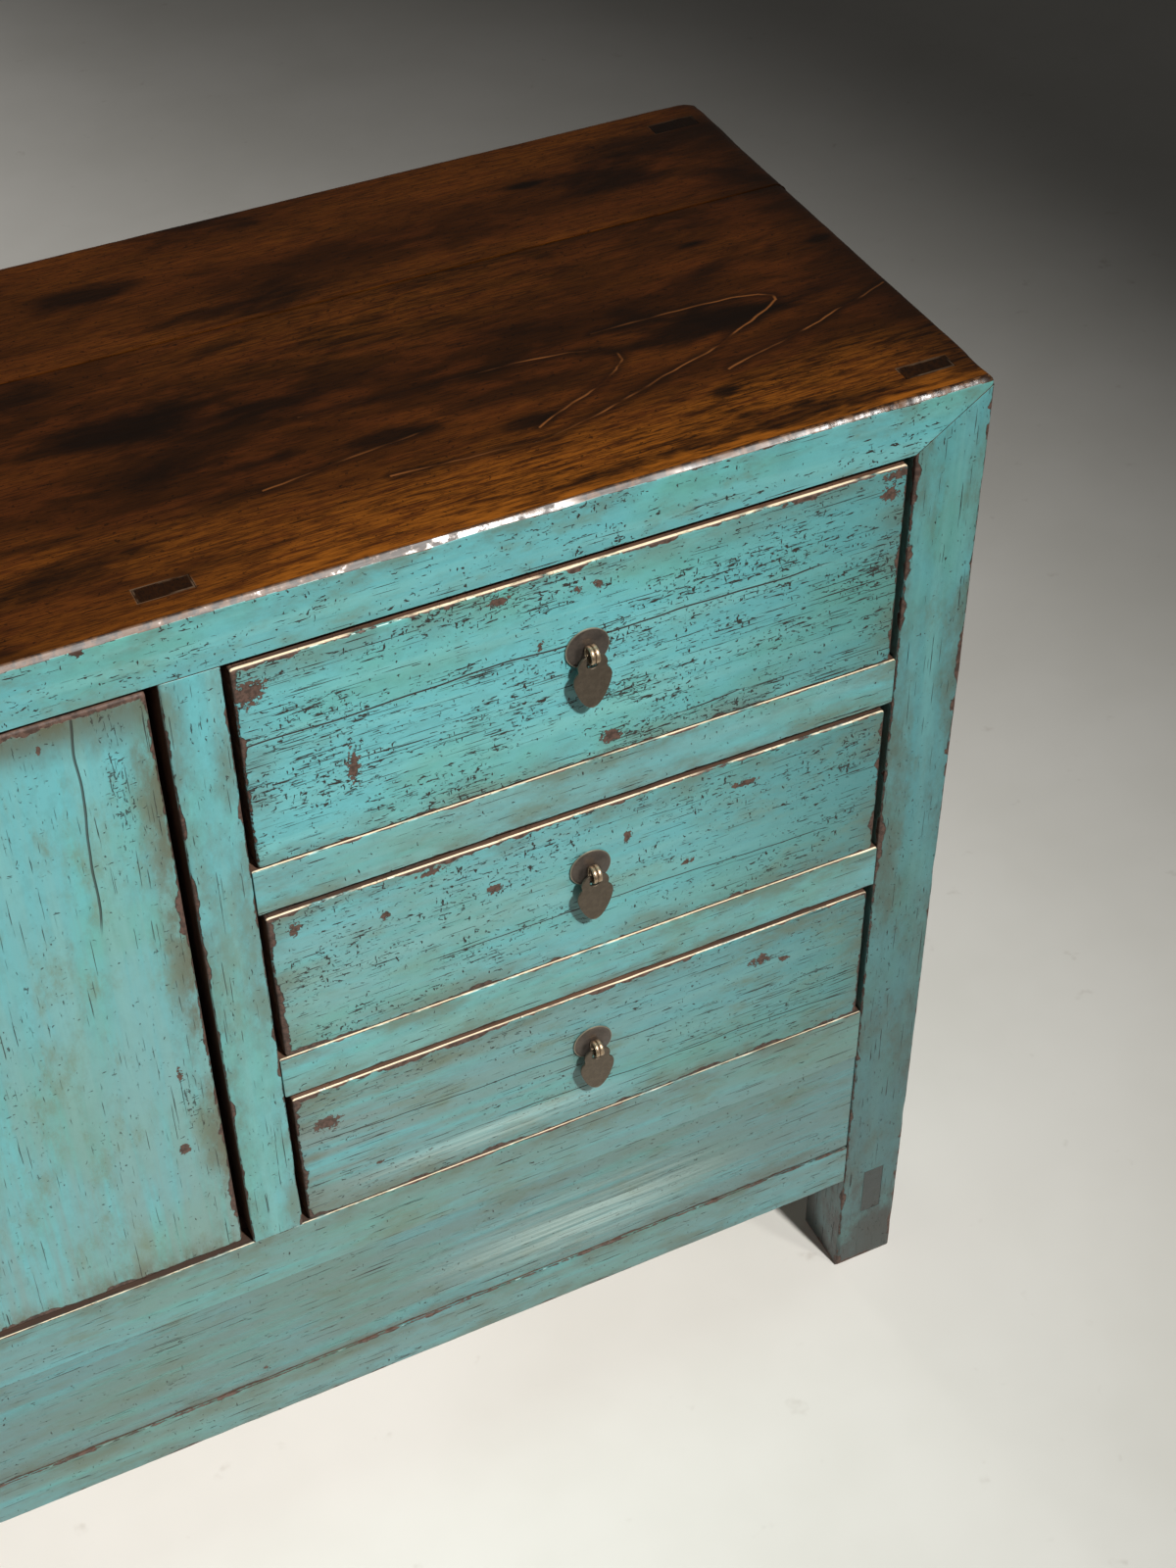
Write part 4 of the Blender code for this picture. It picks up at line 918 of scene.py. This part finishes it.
# Flecks, lines, grime, grey of dust and painted sheen, chips, cracks, places of painted sheen, bare edge with
# painted highlight, deeper coat along the grain, darkening
DRAWER_MARKS = {
    "top": (0.90, 0.7, 0.22, 0.04,
            [(-0.208, 0.058, 0.010, 0.008), (-0.150, -0.022, 0.0040, 0.013), (-0.006, 0.059, 0.005, 0.003),
             (0.008, 0.059, 0.004, 0.003), (0.017, -0.063, 0.006, 0.004), (-0.055, 0.068, 0.005, 0.003),
             (0.203, 0.059, 0.006, 0.005), (0.208, 0.072, 0.008, 0.003), (-0.030, 0.025, 0.003, 0.004)],
            [(-0.230, 0.170, 0.019, 0.020, 0.0008), (0.055, 0.115, -0.064, -0.060, 0.0007)], [], 1.0, 0.30, 0.0),
    "middle": (0.70, 0.35, 0.45, 0.40,
               [(-0.066, 0.023, 0.005, 0.003), (0.027, 0.029, 0.002, 0.006), (-0.108, 0.057, 0.011, 0.003),
                (0.112, 0.041, 0.007, 0.002), (-0.199, 0.047, 0.004, 0.006), (0.070, -0.013, 0.004, 0.002)],
               [(-0.120, 0.180, -0.021, -0.026, 0.0005)], [], 0.6, 0.24, 0.02),
    "bottom": (0.35, 0.60, 0.7, 0.85,
               [(-0.192, 0.030, 0.009, 0.005), (0.132, 0.033, 0.009, 0.005), (0.150, 0.026, 0.004, 0.003),
                (-0.160, -0.030, 0.004, 0.002)],
               [(-0.220, 0.070, 0.013, 0.004, 0.0005), (-0.080, 0.215, -0.030, -0.036, 0.0005)],
               [(-0.075, -0.042, 0.085, 0.010)], 0.5, 0.30, 0.13),
}
for level, (fleck, line, grime, dust_and_sheen, chips, cracks, painted_sheen, bare_glint, deepen_along, darkening) in DRAWER_MARKS.items():
    near = lacquer(f"lacquer_right_{level}", fleck, line, grime, dust_and_sheen, chips, cracks, painted_sheen, bare_glint=bare_glint, deepen_along=deepen_along,
                   darkening=darkening)
    wear_finish(f"drawer_front_right_{level}", near)
    other_chips = [(-a, -c, x, y) for a, c, x, y in chips[::2]]
    other_cracks = [(-end, -start, -high, -low, half) for start, end, low, high, half in cracks]
    far = lacquer(f"lacquer_left_{level}", fleck * 0.8, line, grime, dust_and_sheen, other_chips, other_cracks, bare_glint=bare_glint,
                  darkening=darkening)
    wear_finish(f"drawer_front_left_{level}", far)
door_cracks = [(0.075, 0.270, 0.133, 0.142, 0.0009), (-0.270, -0.060, -0.052, -0.047, 0.0006)]
door_chips = [(-0.132, 0.156, 0.004, 0.003), (-0.062, 0.162, 0.006, 0.002), (0.2295, 0.1206, 0.004, 0.002)]
door_crowds = [(0.205, 0.160, 0.080, 0.010), (-0.090, 0.165, 0.030, 0.006)]
for word, side in SIDES.items():
    marks = [(a, side * c, x, y) for a, c, x, y in door_chips]
    lines = [(s, e, side * low, side * high, h) for s, e, low, high, h in door_cracks[:2 if side > 0 else 1]]
    dashes = [(a, side * c, x, y) for a, c, x, y in door_crowds]
    door_coat = lacquer(f"lacquer_door_{word}", 0.10, 0.16, 0.7, 0.75, marks, lines, crowds=dashes, rim=0.9,
                        deepen_along=0.5, deep=0.0, crown=0.75, ink=0.8, upright=True)
    wear_finish(f"door_{word}", door_coat)
rail_coat = lacquer("lacquer_rails", 0.12, 0.15, 0.6, 0.30, wear=0.4, bare_glint=0.6)
post_coat = lacquer("lacquer_stiles", 0.10, 0.15, 0.5, 0.15, wear=0.6, ink=0.8, upright=True)
leg_coat = lacquer("lacquer_legs", 0.14, 0.3, 0.7, 0.05, darkening=0.25, all_round=True, foot=True)
tenon_coat = lacquer("lacquer_side_tenons", 0.3, 0.3, 0.7, 0.1, darkening=0.96, all_round=True)
side_coat = lacquer("lacquer_ends", 0.30, 0.3, 0.7, 0.2, darkening=0.10, all_round=True)
panel_coat = lacquer("lacquer_panel", 0.05, 0.3, 0.6, 0.60, painted_sheen=[(0.62, -0.010, 0.10, 0.030)], wear=0.4,
                     darkening=0.32, gloss=0.22, pale=0.12)
low_rail_coat = lacquer("lacquer_low_rail", 0.05, 0.3, 0.6, 0.55, wear=0.4, darkening=0.16, bare_glint=0.3, pale=0.15)
foot_rail_coat = lacquer("lacquer_foot_rail", 0.05, 0.3, 0.6, 0.55, wear=0.7, darkening=0.20, bare_glint=0.0, pale=0.15)
for word in SIDES:
    wear_finish(f"stile_{word}", post_coat)
    for node in (f"drawer_rail_{word}_upper", f"drawer_rail_{word}_lower"):
        wear_finish(node, rail_coat)
    for node in (f"leg_front_{word}", f"leg_back_{word}"):
        wear_finish(node, leg_coat)
    for node in (f"side_panel_{word}", f"side_rail_{word}"):
        wear_finish(node, side_coat)
    side_rail = made[f"side_rail_{word}"].data
    side_rail.materials.append(tenon_coat)
    for face in side_rail.polygons:
        outside = face.center.y < front_y + SKIN or face.center.y > back_y - SKIN
        if outside and abs(face.normal.y) > FACING:
            face.material_index = 1
wear_finish("lower_front_rail", low_rail_coat)
wear_finish("front_panel", panel_coat)
wear_finish("bottom_front_rail", foot_rail_coat)
print("painted boards", sum(1 for piece in made.values() if piece.data.materials))

# %% [markdown]
# ## The oiled top
# The top is dark, oiled wood with black smears and knots, and gold figure that is laid stronger along
# the front edge and at a few places as a painted glow. Two nested tongues of grain have harder lines
# that stand out as fine ridges, with a painted highlight on their crests. The tongues are drawn as
# short strokes, because a noise would not close them to a tip. The end grain of the six tenons is
# darker still, and a pale frame round each of them is partly a rubbed edge and partly a painted highlight.

# %% Figure of the top
# Smears and knots: place along, place across, half length, half width, strength
KNOTS = [(0.775, -0.058, 0.062, 0.017, 0.9), (0.645, -0.076, 0.060, 0.013, 0.6),
         (0.638, -0.105, 0.020, 0.007, 0.9), (0.554, -0.081, 0.034, 0.008, 0.9),
         (0.477, -0.073, 0.024, 0.006, 0.8), (0.418, -0.005, 0.045, 0.022, 0.95),
         (0.444, 0.142, 0.040, 0.012, 0.9), (0.743, 0.144, 0.016, 0.004, 1.0),
         (0.807, 0.028, 0.010, 0.003, 0.9), (0.747, -0.127, 0.009, 0.005, 0.9),
         (0.748, -0.155, 0.009, 0.004, 0.9), (0.786, -0.160, 0.009, 0.004, 0.8),
         (0.882, -0.001, 0.009, 0.005, 0.9), (0.513, 0.089, 0.050, 0.006, 0.8),
         (0.850, 0.160, 0.050, 0.020, 0.7), (0.050, 0.110, 0.040, 0.010, 0.9),
         (-0.220, -0.090, 0.030, 0.008, 0.9), (-0.520, 0.020, 0.050, 0.016, 0.9),
         (-0.700, 0.130, 0.030, 0.008, 0.9), (-0.060, -0.040, 0.060, 0.010, 0.6),
         (-0.800, -0.080, 0.040, 0.014, 0.8)]
RIDGES = [
    [(0.513, -0.041), (0.572, -0.044), (0.647, -0.045), (0.684, -0.050), (0.700, -0.056), (0.708, -0.062),
     (0.709, -0.070), (0.703, -0.078), (0.689, -0.087), (0.653, -0.103), (0.636, -0.112)],
    [(0.703, -0.037), (0.757, -0.037), (0.800, -0.040), (0.816, -0.043), (0.823, -0.048), (0.823, -0.054),
     (0.812, -0.062), (0.790, -0.071), (0.758, -0.086), (0.713, -0.103), (0.636, -0.125), (0.540, -0.119)],
    [(0.893, -0.066), (0.830, -0.088), (0.763, -0.108)],
    [(0.470, -0.099), (0.583, -0.085)],
    [(-0.350, 0.010), (-0.240, 0.004), (-0.120, 0.006), (-0.100, 0.016), (-0.130, 0.030), (-0.260, 0.040)],
    [(-0.860, -0.030), (-0.700, -0.052), (-0.560, -0.060)],
]
RIDGE_HALF = 0.0011
# The painted glow along the front of the top is held back round this place
GLOW_GAP_X = 0.30  # where the front strip of the top is dark instead of gold
# Places of painted glow on the top: place along, place across, half length, half width
PAINTED_GLOW_PLACES = [(0.62, -0.140, 0.150, 0.028), (0.40, -0.120, 0.090, 0.020), (0.60, 0.045, 0.120, 0.040),
               (-0.45, -0.120, 0.180, 0.030)]


def ridge_distance(f, at):
    """Distance on the top from the nearest stroke of the figure."""
    nearest = 1.0
    for stroke in RIDGES:
        for start, end in zip(stroke, stroke[1:]):
            way = Vector(end) - Vector(start)
            moved = f.shift(at, -start[0], -start[1], 0)
            scaled = way / way.length_squared
            share = f.vector("DOT_PRODUCT", moved, (scaled.x, scaled.y, 0))
            held = f.add("ShaderNodeClamp", share).outputs[0]
            foot = f.add("ShaderNodeVectorMath", (way.x, way.y, 0))
            foot.operation = "SCALE"
            f.set(foot.inputs["Scale"], held)
            nearest = f.least(nearest, f.vector("DISTANCE", moved, foot.outputs[0]))
    return nearest


def tenon_outline(f, at):
    """A thin frame round each tenon that comes through the top."""
    x, y, _ = f.parts(at)
    wide = f.size(x)
    frames = [0.0]
    for across, deep, frame_share in ((LEG_TENON_X, front_tenon_y, 1.0), (STILE_TENON_X, front_tenon_y, 0.8),
                                (LEG_TENON_X, rear_tenon_y, 0.25)):
        beside = f.size(f.minus(wide, sum(across) / 2))
        before = f.size(f.minus(y, sum(deep) / 2))
        out = f.most(f.minus(beside, (across[1] - across[0]) / 2),
                     f.minus(before, (deep[1] - deep[0]) / 2))
        frames.append(f.times(f.step(f.size(out), 0.0012, 0.0006), frame_share))
    return f.most(*frames)


print("strokes", sum(len(stroke) - 1 for stroke in RIDGES), "smears", len(KNOTS))

# %% Oiled top
WALNUT_DARK = colour(38, 19, 6)
WALNUT = colour(67, 34, 10)
WALNUT_RED = colour(86, 43, 15)
WALNUT_GOLD = colour(132, 76, 20)
NEAR_BLACK = colour(17, 10, 6)
CREST_HIGHLIGHT = colour(118, 72, 36)
PALE_TENON_FRAME = colour(92, 74, 58)


def oiled_wood(name, end_grain=False):
    f = Finish(name)
    grain = f.note("grain")
    at = f.stretch(f.add("ShaderNodeTexCoord").outputs["Object"], 1, 1, 0)
    x, y, _ = f.parts(at)
    warp = f.cloud(grain, 160, 3.0, 0.6)
    bend = f.cloud(grain, (26, 40, 40), output="Color")
    swayed = f.shift(f.vector("MULTIPLY_ADD", bend, (0.010, 0.006, 0), at), -0.005, -0.003, 0)

    # Soft clouds of brown, gold streaks laid stronger towards the front edge and at given places as a painted
    # glow, and fine dark strokes
    glow = f.cloud(grain, (2.4, 9, 9), 4.0, 0.55, 0.4)
    soft = f.cloud(grain, (16, 50, 50), 4.0, 0.6, 0.4)
    fibre = f.cloud(grain, (34, 330, 300), 5.0, 0.70, 0.3)
    stroke = f.cloud(grain, (75, 800, 300), 3.0, 0.65)
    smear = f.cloud(f.shift(grain, 3.1, 1.7, 0), (5.0, 20, 20), 4.0, 0.6, 0.6)
    # Painted glow: gold figure laid stronger near the front edge and at given places
    front_painted_glow = f.step(f.ramp(f.minus(glow, 0.5), 0.16, y), -0.100, -0.165)
    lit = f.step(f.size(f.minus(x, GLOW_GAP_X)), 0.10, 0.18)
    lit = f.ramp(lit, 0.75, 0.25)
    front_painted_glow = f.times(front_painted_glow, lit)
    tone = f.mix(f.step(glow, 0.38, 0.62), WALNUT_DARK, WALNUT)
    tone = f.lay(tone, WALNUT_RED, f.step(soft, 0.44, 0.64), 0.45)
    gold_and_painted_glow = f.ramp(front_painted_glow, 0.60, f.times(f.step(glow, 0.46, 0.64), 0.22))
    gold_and_painted_glow = f.ramp(chip_mask(f, at, 0.0, PAINTED_GLOW_PLACES, 1.8, 0.0), 0.30, gold_and_painted_glow)
    tone = f.lay(tone, WALNUT_GOLD, f.step(fibre, 0.36, 0.62), gold_and_painted_glow)
    tone = f.lay(tone, WALNUT_DARK, f.step(stroke, 0.52, 0.64), 0.55)
    pore = f.cloud(grain, (55, 1300, 600), 3.0, 0.65)
    speck = f.cloud(grain, (240, 420, 420), 3.0, 0.6, 0.4)
    tone = f.lay(tone, NEAR_BLACK, f.step(pore, 0.55, 0.62), 0.55)
    tone = f.lay(tone, NEAR_BLACK, f.step(speck, 0.63, 0.66), 0.65)
    tone = f.lay(tone, NEAR_BLACK, f.step(smear, 0.52, 0.68), 0.75)
    blur = f.times(f.minus(soft, 0.5), 2.4)
    smears = [0.0]
    for along, across, half_along, half_across, strength in KNOTS:
        moved = f.shift(swayed, -along, -across, 0)
        away = f.vector("LENGTH", f.stretch(moved, 1 / half_along, 1 / half_across, 0))
        smears.append(f.times(f.step(f.plus(away, blur), 1.5, 0.3), strength * 0.95))
    tone = f.mix(f.most(*smears), tone, NEAR_BLACK)

    # Ridges of the harder grain: a pale crest painted as a highlight, between darker sides that are dark figure
    # and painted shade
    nearest = ridge_distance(f, swayed)
    ridge = f.step(nearest, RIDGE_HALF, 0.0002)
    tone = f.lay(tone, NEAR_BLACK, f.step(nearest, 0.007, 0.001), 0.55)
    shown = f.step(f.cloud(grain, (18, 60, 60), 2.0), 0.40, 0.58)
    tone = f.lay(tone, CREST_HIGHLIGHT, ridge, shown)
    if end_grain:
        tone = f.mix(0.85, tone, NEAR_BLACK)
    # Pale frame round each tenon: partly a rubbed edge, partly a painted highlight
    tone = f.lay(tone, PALE_TENON_FRAME, tenon_outline(f, at), shown)

    # Dark ends, and a slanting front edge that is rubbed gold behind, that gold partly wear and partly painted
    # glow, and polished on its face
    ends = f.step(f.size(x), outer_x - 0.060, outer_x - 0.002)
    tone = f.lay(tone, NEAR_BLACK, ends, 0.65)
    back_from_edge = f.minus(y, front_y)
    rim = f.step(f.ramp(f.minus(soft, 0.5), 0.05, back_from_edge), 0.0150, 0.0050)
    rim = f.times(rim, lit)
    tone = f.lay(tone, WALNUT_GOLD, rim, f.step(fibre, 0.30, 0.62))
    slant = f.step(back_from_edge, 0.0048, 0.0040)
    tone = f.mix(slant, tone, f.mix(f.step(warp, 0.42, 0.60), colour(42, 26, 16), colour(96, 66, 42)))
    relief = f.ramp(ridge, 0.32, f.times(stroke, -0.6))
    relief = f.ramp(soft, 0.9, f.ramp(fibre, -0.5, relief))
    ripple = f.cloud(grain, (110, 30, 30), 2.0)
    relief = f.ramp(slant, f.minus(f.times(ripple, 0.7), relief), relief)
    f.bump(relief, 0.0006)
    dry = f.step(f.cloud(grain, (9, 40, 40), 3.0), 0.44, 0.34)
    dry = f.times(f.most(dry, f.step(f.ramp(warp, 0.8, x), 1.04, 0.90)), slant)
    joint = f.step(f.size(f.minus(y, seam_y)), 0.0016, 0.0008)
    tone = f.lay(tone, NEAR_BLACK, joint, 0.2)
    rough = f.ramp(stroke, 0.22, f.ramp(f.most(dry, joint), 0.34, 0.12))
    shine = f.ramp(joint, -0.45, f.ramp(slant, 0.5, 0.45))
    f.set(f.shader.inputs["Specular IOR Level"], shine)
    return f.dress(tone, rough)


FRONT_FACING = 0.8
FRONT_SKIN = 0.004
top_finish = oiled_wood("oiled_top")
tenon_finish = oiled_wood("oiled_tenons", end_grain=True)
edge_coat = lacquer("lacquer_top_edge", 0.50, 0.12, 0.65, 0.05, wear=0.9, darkening=0.07, all_round=True,
                    ground=colour(60, 36, 22))
for node in ("top_front_plank", "top_rear_plank"):
    wear_finish(node, top_finish)
front_plank = made["top_front_plank"].data
front_plank.materials.append(edge_coat)
painted = 0
for face in front_plank.polygons:
    if face.normal.y < -FRONT_FACING and face.center.y < front_y + FRONT_SKIN:
        face.material_index = 1
        painted += 1
ends = 0
for word in SIDES:
    for node in (f"leg_front_{word}", f"leg_back_{word}", f"stile_{word}"):
        made[node].data.materials.append(tenon_finish)
        for face in made[node].data.polygons:
            middle = front_tenon_y if face.center.y < 0 else rear_tenon_y
            beside = abs(face.center.y - sum(middle) / 2) - TENON_THICK / 2
            slopes = face.normal.z > 0.4 and abs(face.normal.y) < 0.1
            mitred = slopes and face.center.z > top_low - SKIN
            if mitred or (face.center.z > top_low + 2 * SKIN and beside < SKIN / 2):
                face.material_index = 1
                ends += 1
print("painted faces of the front plank", painted, "hidden joint faces", ends)

# %% [markdown]
# ## Plain wood inside
# The trays, runners, partitions and the back were never painted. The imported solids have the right
# shape for them, so they stay and get a dry, pale wood with fibres along the board.

# %% Plain wood
def plain_wood(name, stretch_to):
    f = Finish(name)
    at = f.add("ShaderNodeTexCoord").outputs["Object"]
    along = [14.0 if letter == stretch_to else 260.0 for letter in "XYZ"]
    fibre = f.cloud(at, along, 4.0, 0.65)
    band = f.cloud(at, [value / 9 for value in along], 3.0, 0.6, 0.5)
    stain = f.cloud(at, 5, 4.0, 0.6)
    tone = f.mix(f.step(band, 0.35, 0.65), colour(150, 116, 80), colour(122, 88, 57))
    tone = f.lay(tone, colour(88, 60, 38), f.step(fibre, 0.5, 0.72), 0.6)
    tone = f.lay(tone, colour(84, 62, 44), f.step(stain, 0.5, 0.75), 0.5)
    f.bump(fibre, 0.0005)
    return f.dress(tone, f.ramp(fibre, 0.25, 0.6), Specular_IOR_Level=0.3)


wood_ways = {way: plain_wood(f"plain_wood_{way.lower()}", way) for way in "XYZ"}
PLAIN = {"back_panel": "X", "back_bottom_rail": "X", "bottom_board": "X", "partition": "Y", "runner_ladder": "Y",
         "drawer_tray": "Y", "door_batten": "X"}
count = 0
for node, thing in frame["nodes"].items():
    for start, way in PLAIN.items():
        if node.startswith(start):
            thing.data.materials.clear()
            thing.data.materials.append(wood_ways[way])
            count += 1
print("plain wood pieces", count)

# %% [markdown]
# ## Pulls
# Each pull is a thin domed disc with a strap through it, folded into a loop, and a leaf that hangs
# in the loop. The disc is turned from a profile, the loop is two strips side by side, as the folded
# strap shows, and the leaf is cut from an outline with a softened edge and an eye. The metal is dark
# with age on the flat parts and rubbed bright on the loop. A pale ring along the rim of the plate and
# the lower rim of the leaf is partly rubbed brass and partly a painted highlight.

# %% Pull finishes
def aged_brass(name, dark, pale, rim, rim_from, rim_to, rough_low):
    f = Finish(name)
    at = f.add("ShaderNodeTexCoord").outputs["Object"]
    blotch = f.cloud(at, 190, 4.0, 0.65)
    grit = f.cloud(at, 900, 3.0, 0.6)
    tone = f.mix(f.step(blotch, 0.36, 0.64), dark, pale)
    tone = f.lay(tone, colour(34, 30, 26), f.step(grit, 0.56, 0.7), 0.2)
    # Pale ring at the rim: partly rubbed brass, partly a painted highlight
    round_way = f.vector("LENGTH", f.stretch(at, 1, 0, 1))
    tone = f.lay(tone, rim, f.step(round_way, rim_from, rim_to), 0.8)
    f.bump(f.ramp(grit, 0.3, blotch), 0.00012)
    return f.dress(tone, f.ramp(blotch, 0.3, rough_low), Metallic=0.85)


plate_metal = aged_brass("aged_plate", colour(100, 92, 86), colour(114, 104, 96), colour(186, 172, 152),
                         0.0136, 0.0143, 0.32)
leaf_metal = aged_brass("aged_leaf", colour(98, 88, 76), colour(110, 99, 86), colour(150, 138, 118),
                        0.0365, 0.0392, 0.34)
loop_metal = aged_brass("rubbed_loop", colour(172, 148, 122), colour(202, 180, 152), colour(210, 188, 160),
                        1.0, 2.0, 0.22)
print("pull finishes", plate_metal.name, leaf_metal.name, loop_metal.name)

# %% Pull shapes
PLATE_SEAT = 0.0003
LOOP_REACH = 0.0080
LOOP_RADIUS = 0.0060
LOOP_WALL = 0.0017
LOOP_HALF = 0.0029
LEAF_HANG = 0.0022
LEAF_THICK = 0.0016
LEAF_BEVEL = 0.0004
LEAF_CURVES = (
    ((0.0, 0.0020), (0.0048, 0.0020), (0.0086, 0.0006), (0.0096, -0.0042)),
    ((0.0096, -0.0042), (0.0101, -0.0066), (0.0088, -0.0082), (0.0096, -0.0098)),
    ((0.0096, -0.0098), (0.0126, -0.0118), (0.0132, -0.0155), (0.0122, -0.0200)),
    ((0.0122, -0.0200), (0.0104, -0.0275), (0.0060, -0.0380), (0.0, -0.0390)),
)
# Radius and height of the turned plate, from the back round the rim to the crown
PLATE_PROFILE = ((0.0, 0.0), (0.0138, 0.0), (0.0145, 0.0004), (0.0144, 0.0011), (0.0138, 0.0014), (0.0131, 0.0013),
                 (0.0120, 0.0016), (0.0098, 0.0022), (0.0070, 0.0027), (0.0038, 0.0030), (0.0, 0.0031))
ROUND = 48


def plate_mesh():
    """The domed disc, facing -Y, with its back at PLATE_SEAT from the board."""
    builder = bmesh.new()
    rings = []
    for radius, height in PLATE_PROFILE:
        y = -PLATE_SEAT - height
        if radius == 0.0:
            rings.append([builder.verts.new((0, y, 0))])
            continue
        ring = []
        for i in range(ROUND):
            angle = 2 * math.pi * i / ROUND
            wave = 1 - 0.012 * abs(noise.noise(Vector((math.cos(angle) * 2, math.sin(angle) * 2, 3.5))))
            ring.append(builder.verts.new((radius * wave * math.cos(angle), y, radius * wave * math.sin(angle))))
        rings.append(ring)
    for first, second in zip(rings, rings[1:]):
        bridge(builder, first, second)
    return close_mesh(builder, "plate")


def loop_mesh():
    """Two strips bent into one eye, side by side, with rounded edges."""
    builder = bmesh.new()
    outer, inner = LOOP_RADIUS - 0.0001, LOOP_RADIUS - LOOP_WALL
    for start, end in ((-LOOP_HALF, -0.0002), (0.0002, LOOP_HALF)):
        soft = 0.0004
        section = [(start, inner + soft), (start, outer - soft), (start + soft, outer), (end - soft, outer),
                   (end, outer - soft), (end, inner + soft), (end - soft, inner), (start + soft, inner)]
        rings = []
        for i in range(ROUND):
            angle = 2 * math.pi * i / ROUND
            ring = []
            for x, radius in section:
                spot = (x, -LOOP_REACH + radius * math.cos(angle), radius * math.sin(angle))
                ring.append(builder.verts.new(spot))
            rings.append(ring)
        for first, second in zip(rings, rings[1:] + rings[:1]):
            bridge(builder, first, second)
    return close_mesh(builder, "loop")


print("plate profile rings", len(PLATE_PROFILE))

# %% Leaf shape
EYE_RADIUS = 0.0040
EYE_TOP = 0.0017
EYE_STRAIGHT = 0.0023
EYE_STEPS = 12
CURVE_STEPS = 9


def leaf_mesh():
    """The hanging leaf round its axis, in the plane of the board, with an eye and a soft edge."""
    half = []
    for curve in LEAF_CURVES:
        handles = [Vector((a, b, 0)) for a, b in curve]
        half += [tuple(p[:2]) for p in interpolate_bezier(*handles, CURVE_STEPS)][:-1]
    outline = half + [LEAF_CURVES[-1][-1]] + [(-x, z) for x, z in reversed(half[1:])]
    eye = [(EYE_RADIUS, -EYE_TOP), (-EYE_RADIUS, -EYE_TOP)]
    for i in range(EYE_STEPS + 1):
        angle = math.pi * (1 + i / EYE_STEPS)
        eye.append((EYE_RADIUS * math.cos(angle), -EYE_TOP - EYE_STRAIGHT + EYE_RADIUS * math.sin(angle)))
    drawing = bpy.data.curves.new("leaf", "CURVE")
    drawing.dimensions = "2D"
    drawing.fill_mode = "BOTH"
    drawing.extrude = LEAF_THICK / 2 - LEAF_BEVEL
    drawing.bevel_depth = LEAF_BEVEL
    drawing.bevel_resolution = 2
    drawing.offset = -LEAF_BEVEL
    for points in (outline, eye):
        spline = drawing.splines.new("POLY")
        spline.points.add(len(points) - 1)
        for point, (x, z) in zip(spline.points, points):
            point.co = (x, z, 0, 1)
        spline.use_cyclic_u = True
    sketch = bpy.data.objects.new("leaf", drawing)
    scene.collection.objects.link(sketch)
    mesh = bpy.data.meshes.new_from_object(sketch.evaluated_get(bpy.context.evaluated_depsgraph_get()))
    bpy.data.objects.remove(sketch)
    mesh.transform(Matrix.Rotation(math.pi / 2, 4, "X"))
    return mesh


print("leaf points", len(leaf_mesh().vertices))

# %% Hang the pulls
def finish_mesh(piece, metal):
    piece.data.materials.clear()
    piece.data.materials.append(metal)
    piece.data.shade_smooth()
    piece.data.set_sharp_from_angle(angle=SMOOTH_ANGLE)


pull_places = [f"{word}_{level}" for word in SIDES for level in LEVELS] + [f"door_{word}" for word in SIDES]
shapes = {"plate": plate_mesh(), "loop": loop_mesh(), "leaf": leaf_mesh()}
for place in pull_places:
    low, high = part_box(f"pull_plate_{place}")
    board = f"door_{place[5:]}" if place.startswith("door") else f"drawer_front_{place}"
    face_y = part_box(board)[0].y
    centre = Vector(((low.x + high.x) / 2, face_y, (low.z + high.z) / 2))
    body = BODY_OF[f"pull_plate_{place}"]
    plate = bpy.data.objects.new(f"plate_{place}", shapes["plate"])
    loop = bpy.data.objects.new(f"loop_{place}", shapes["loop"])
    leaf = bpy.data.objects.new(f"leaf_{place}", shapes["leaf"])
    for piece, metal in ((plate, plate_metal), (loop, loop_metal), (leaf, leaf_metal)):
        scene.collection.objects.link(piece)
        piece.location = centre
        finish_mesh(piece, metal)
    leaf.location = centre + Vector((0, -LOOP_REACH, -LEAF_HANG))
    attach(plate, body)
    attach(loop, body)
    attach(leaf, BODY_OF[f"pull_leaf_{place}"])
    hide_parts(f"pull_plate_{place}")
    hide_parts(f"pull_leaf_{place}")
print("pulls", len(pull_places))
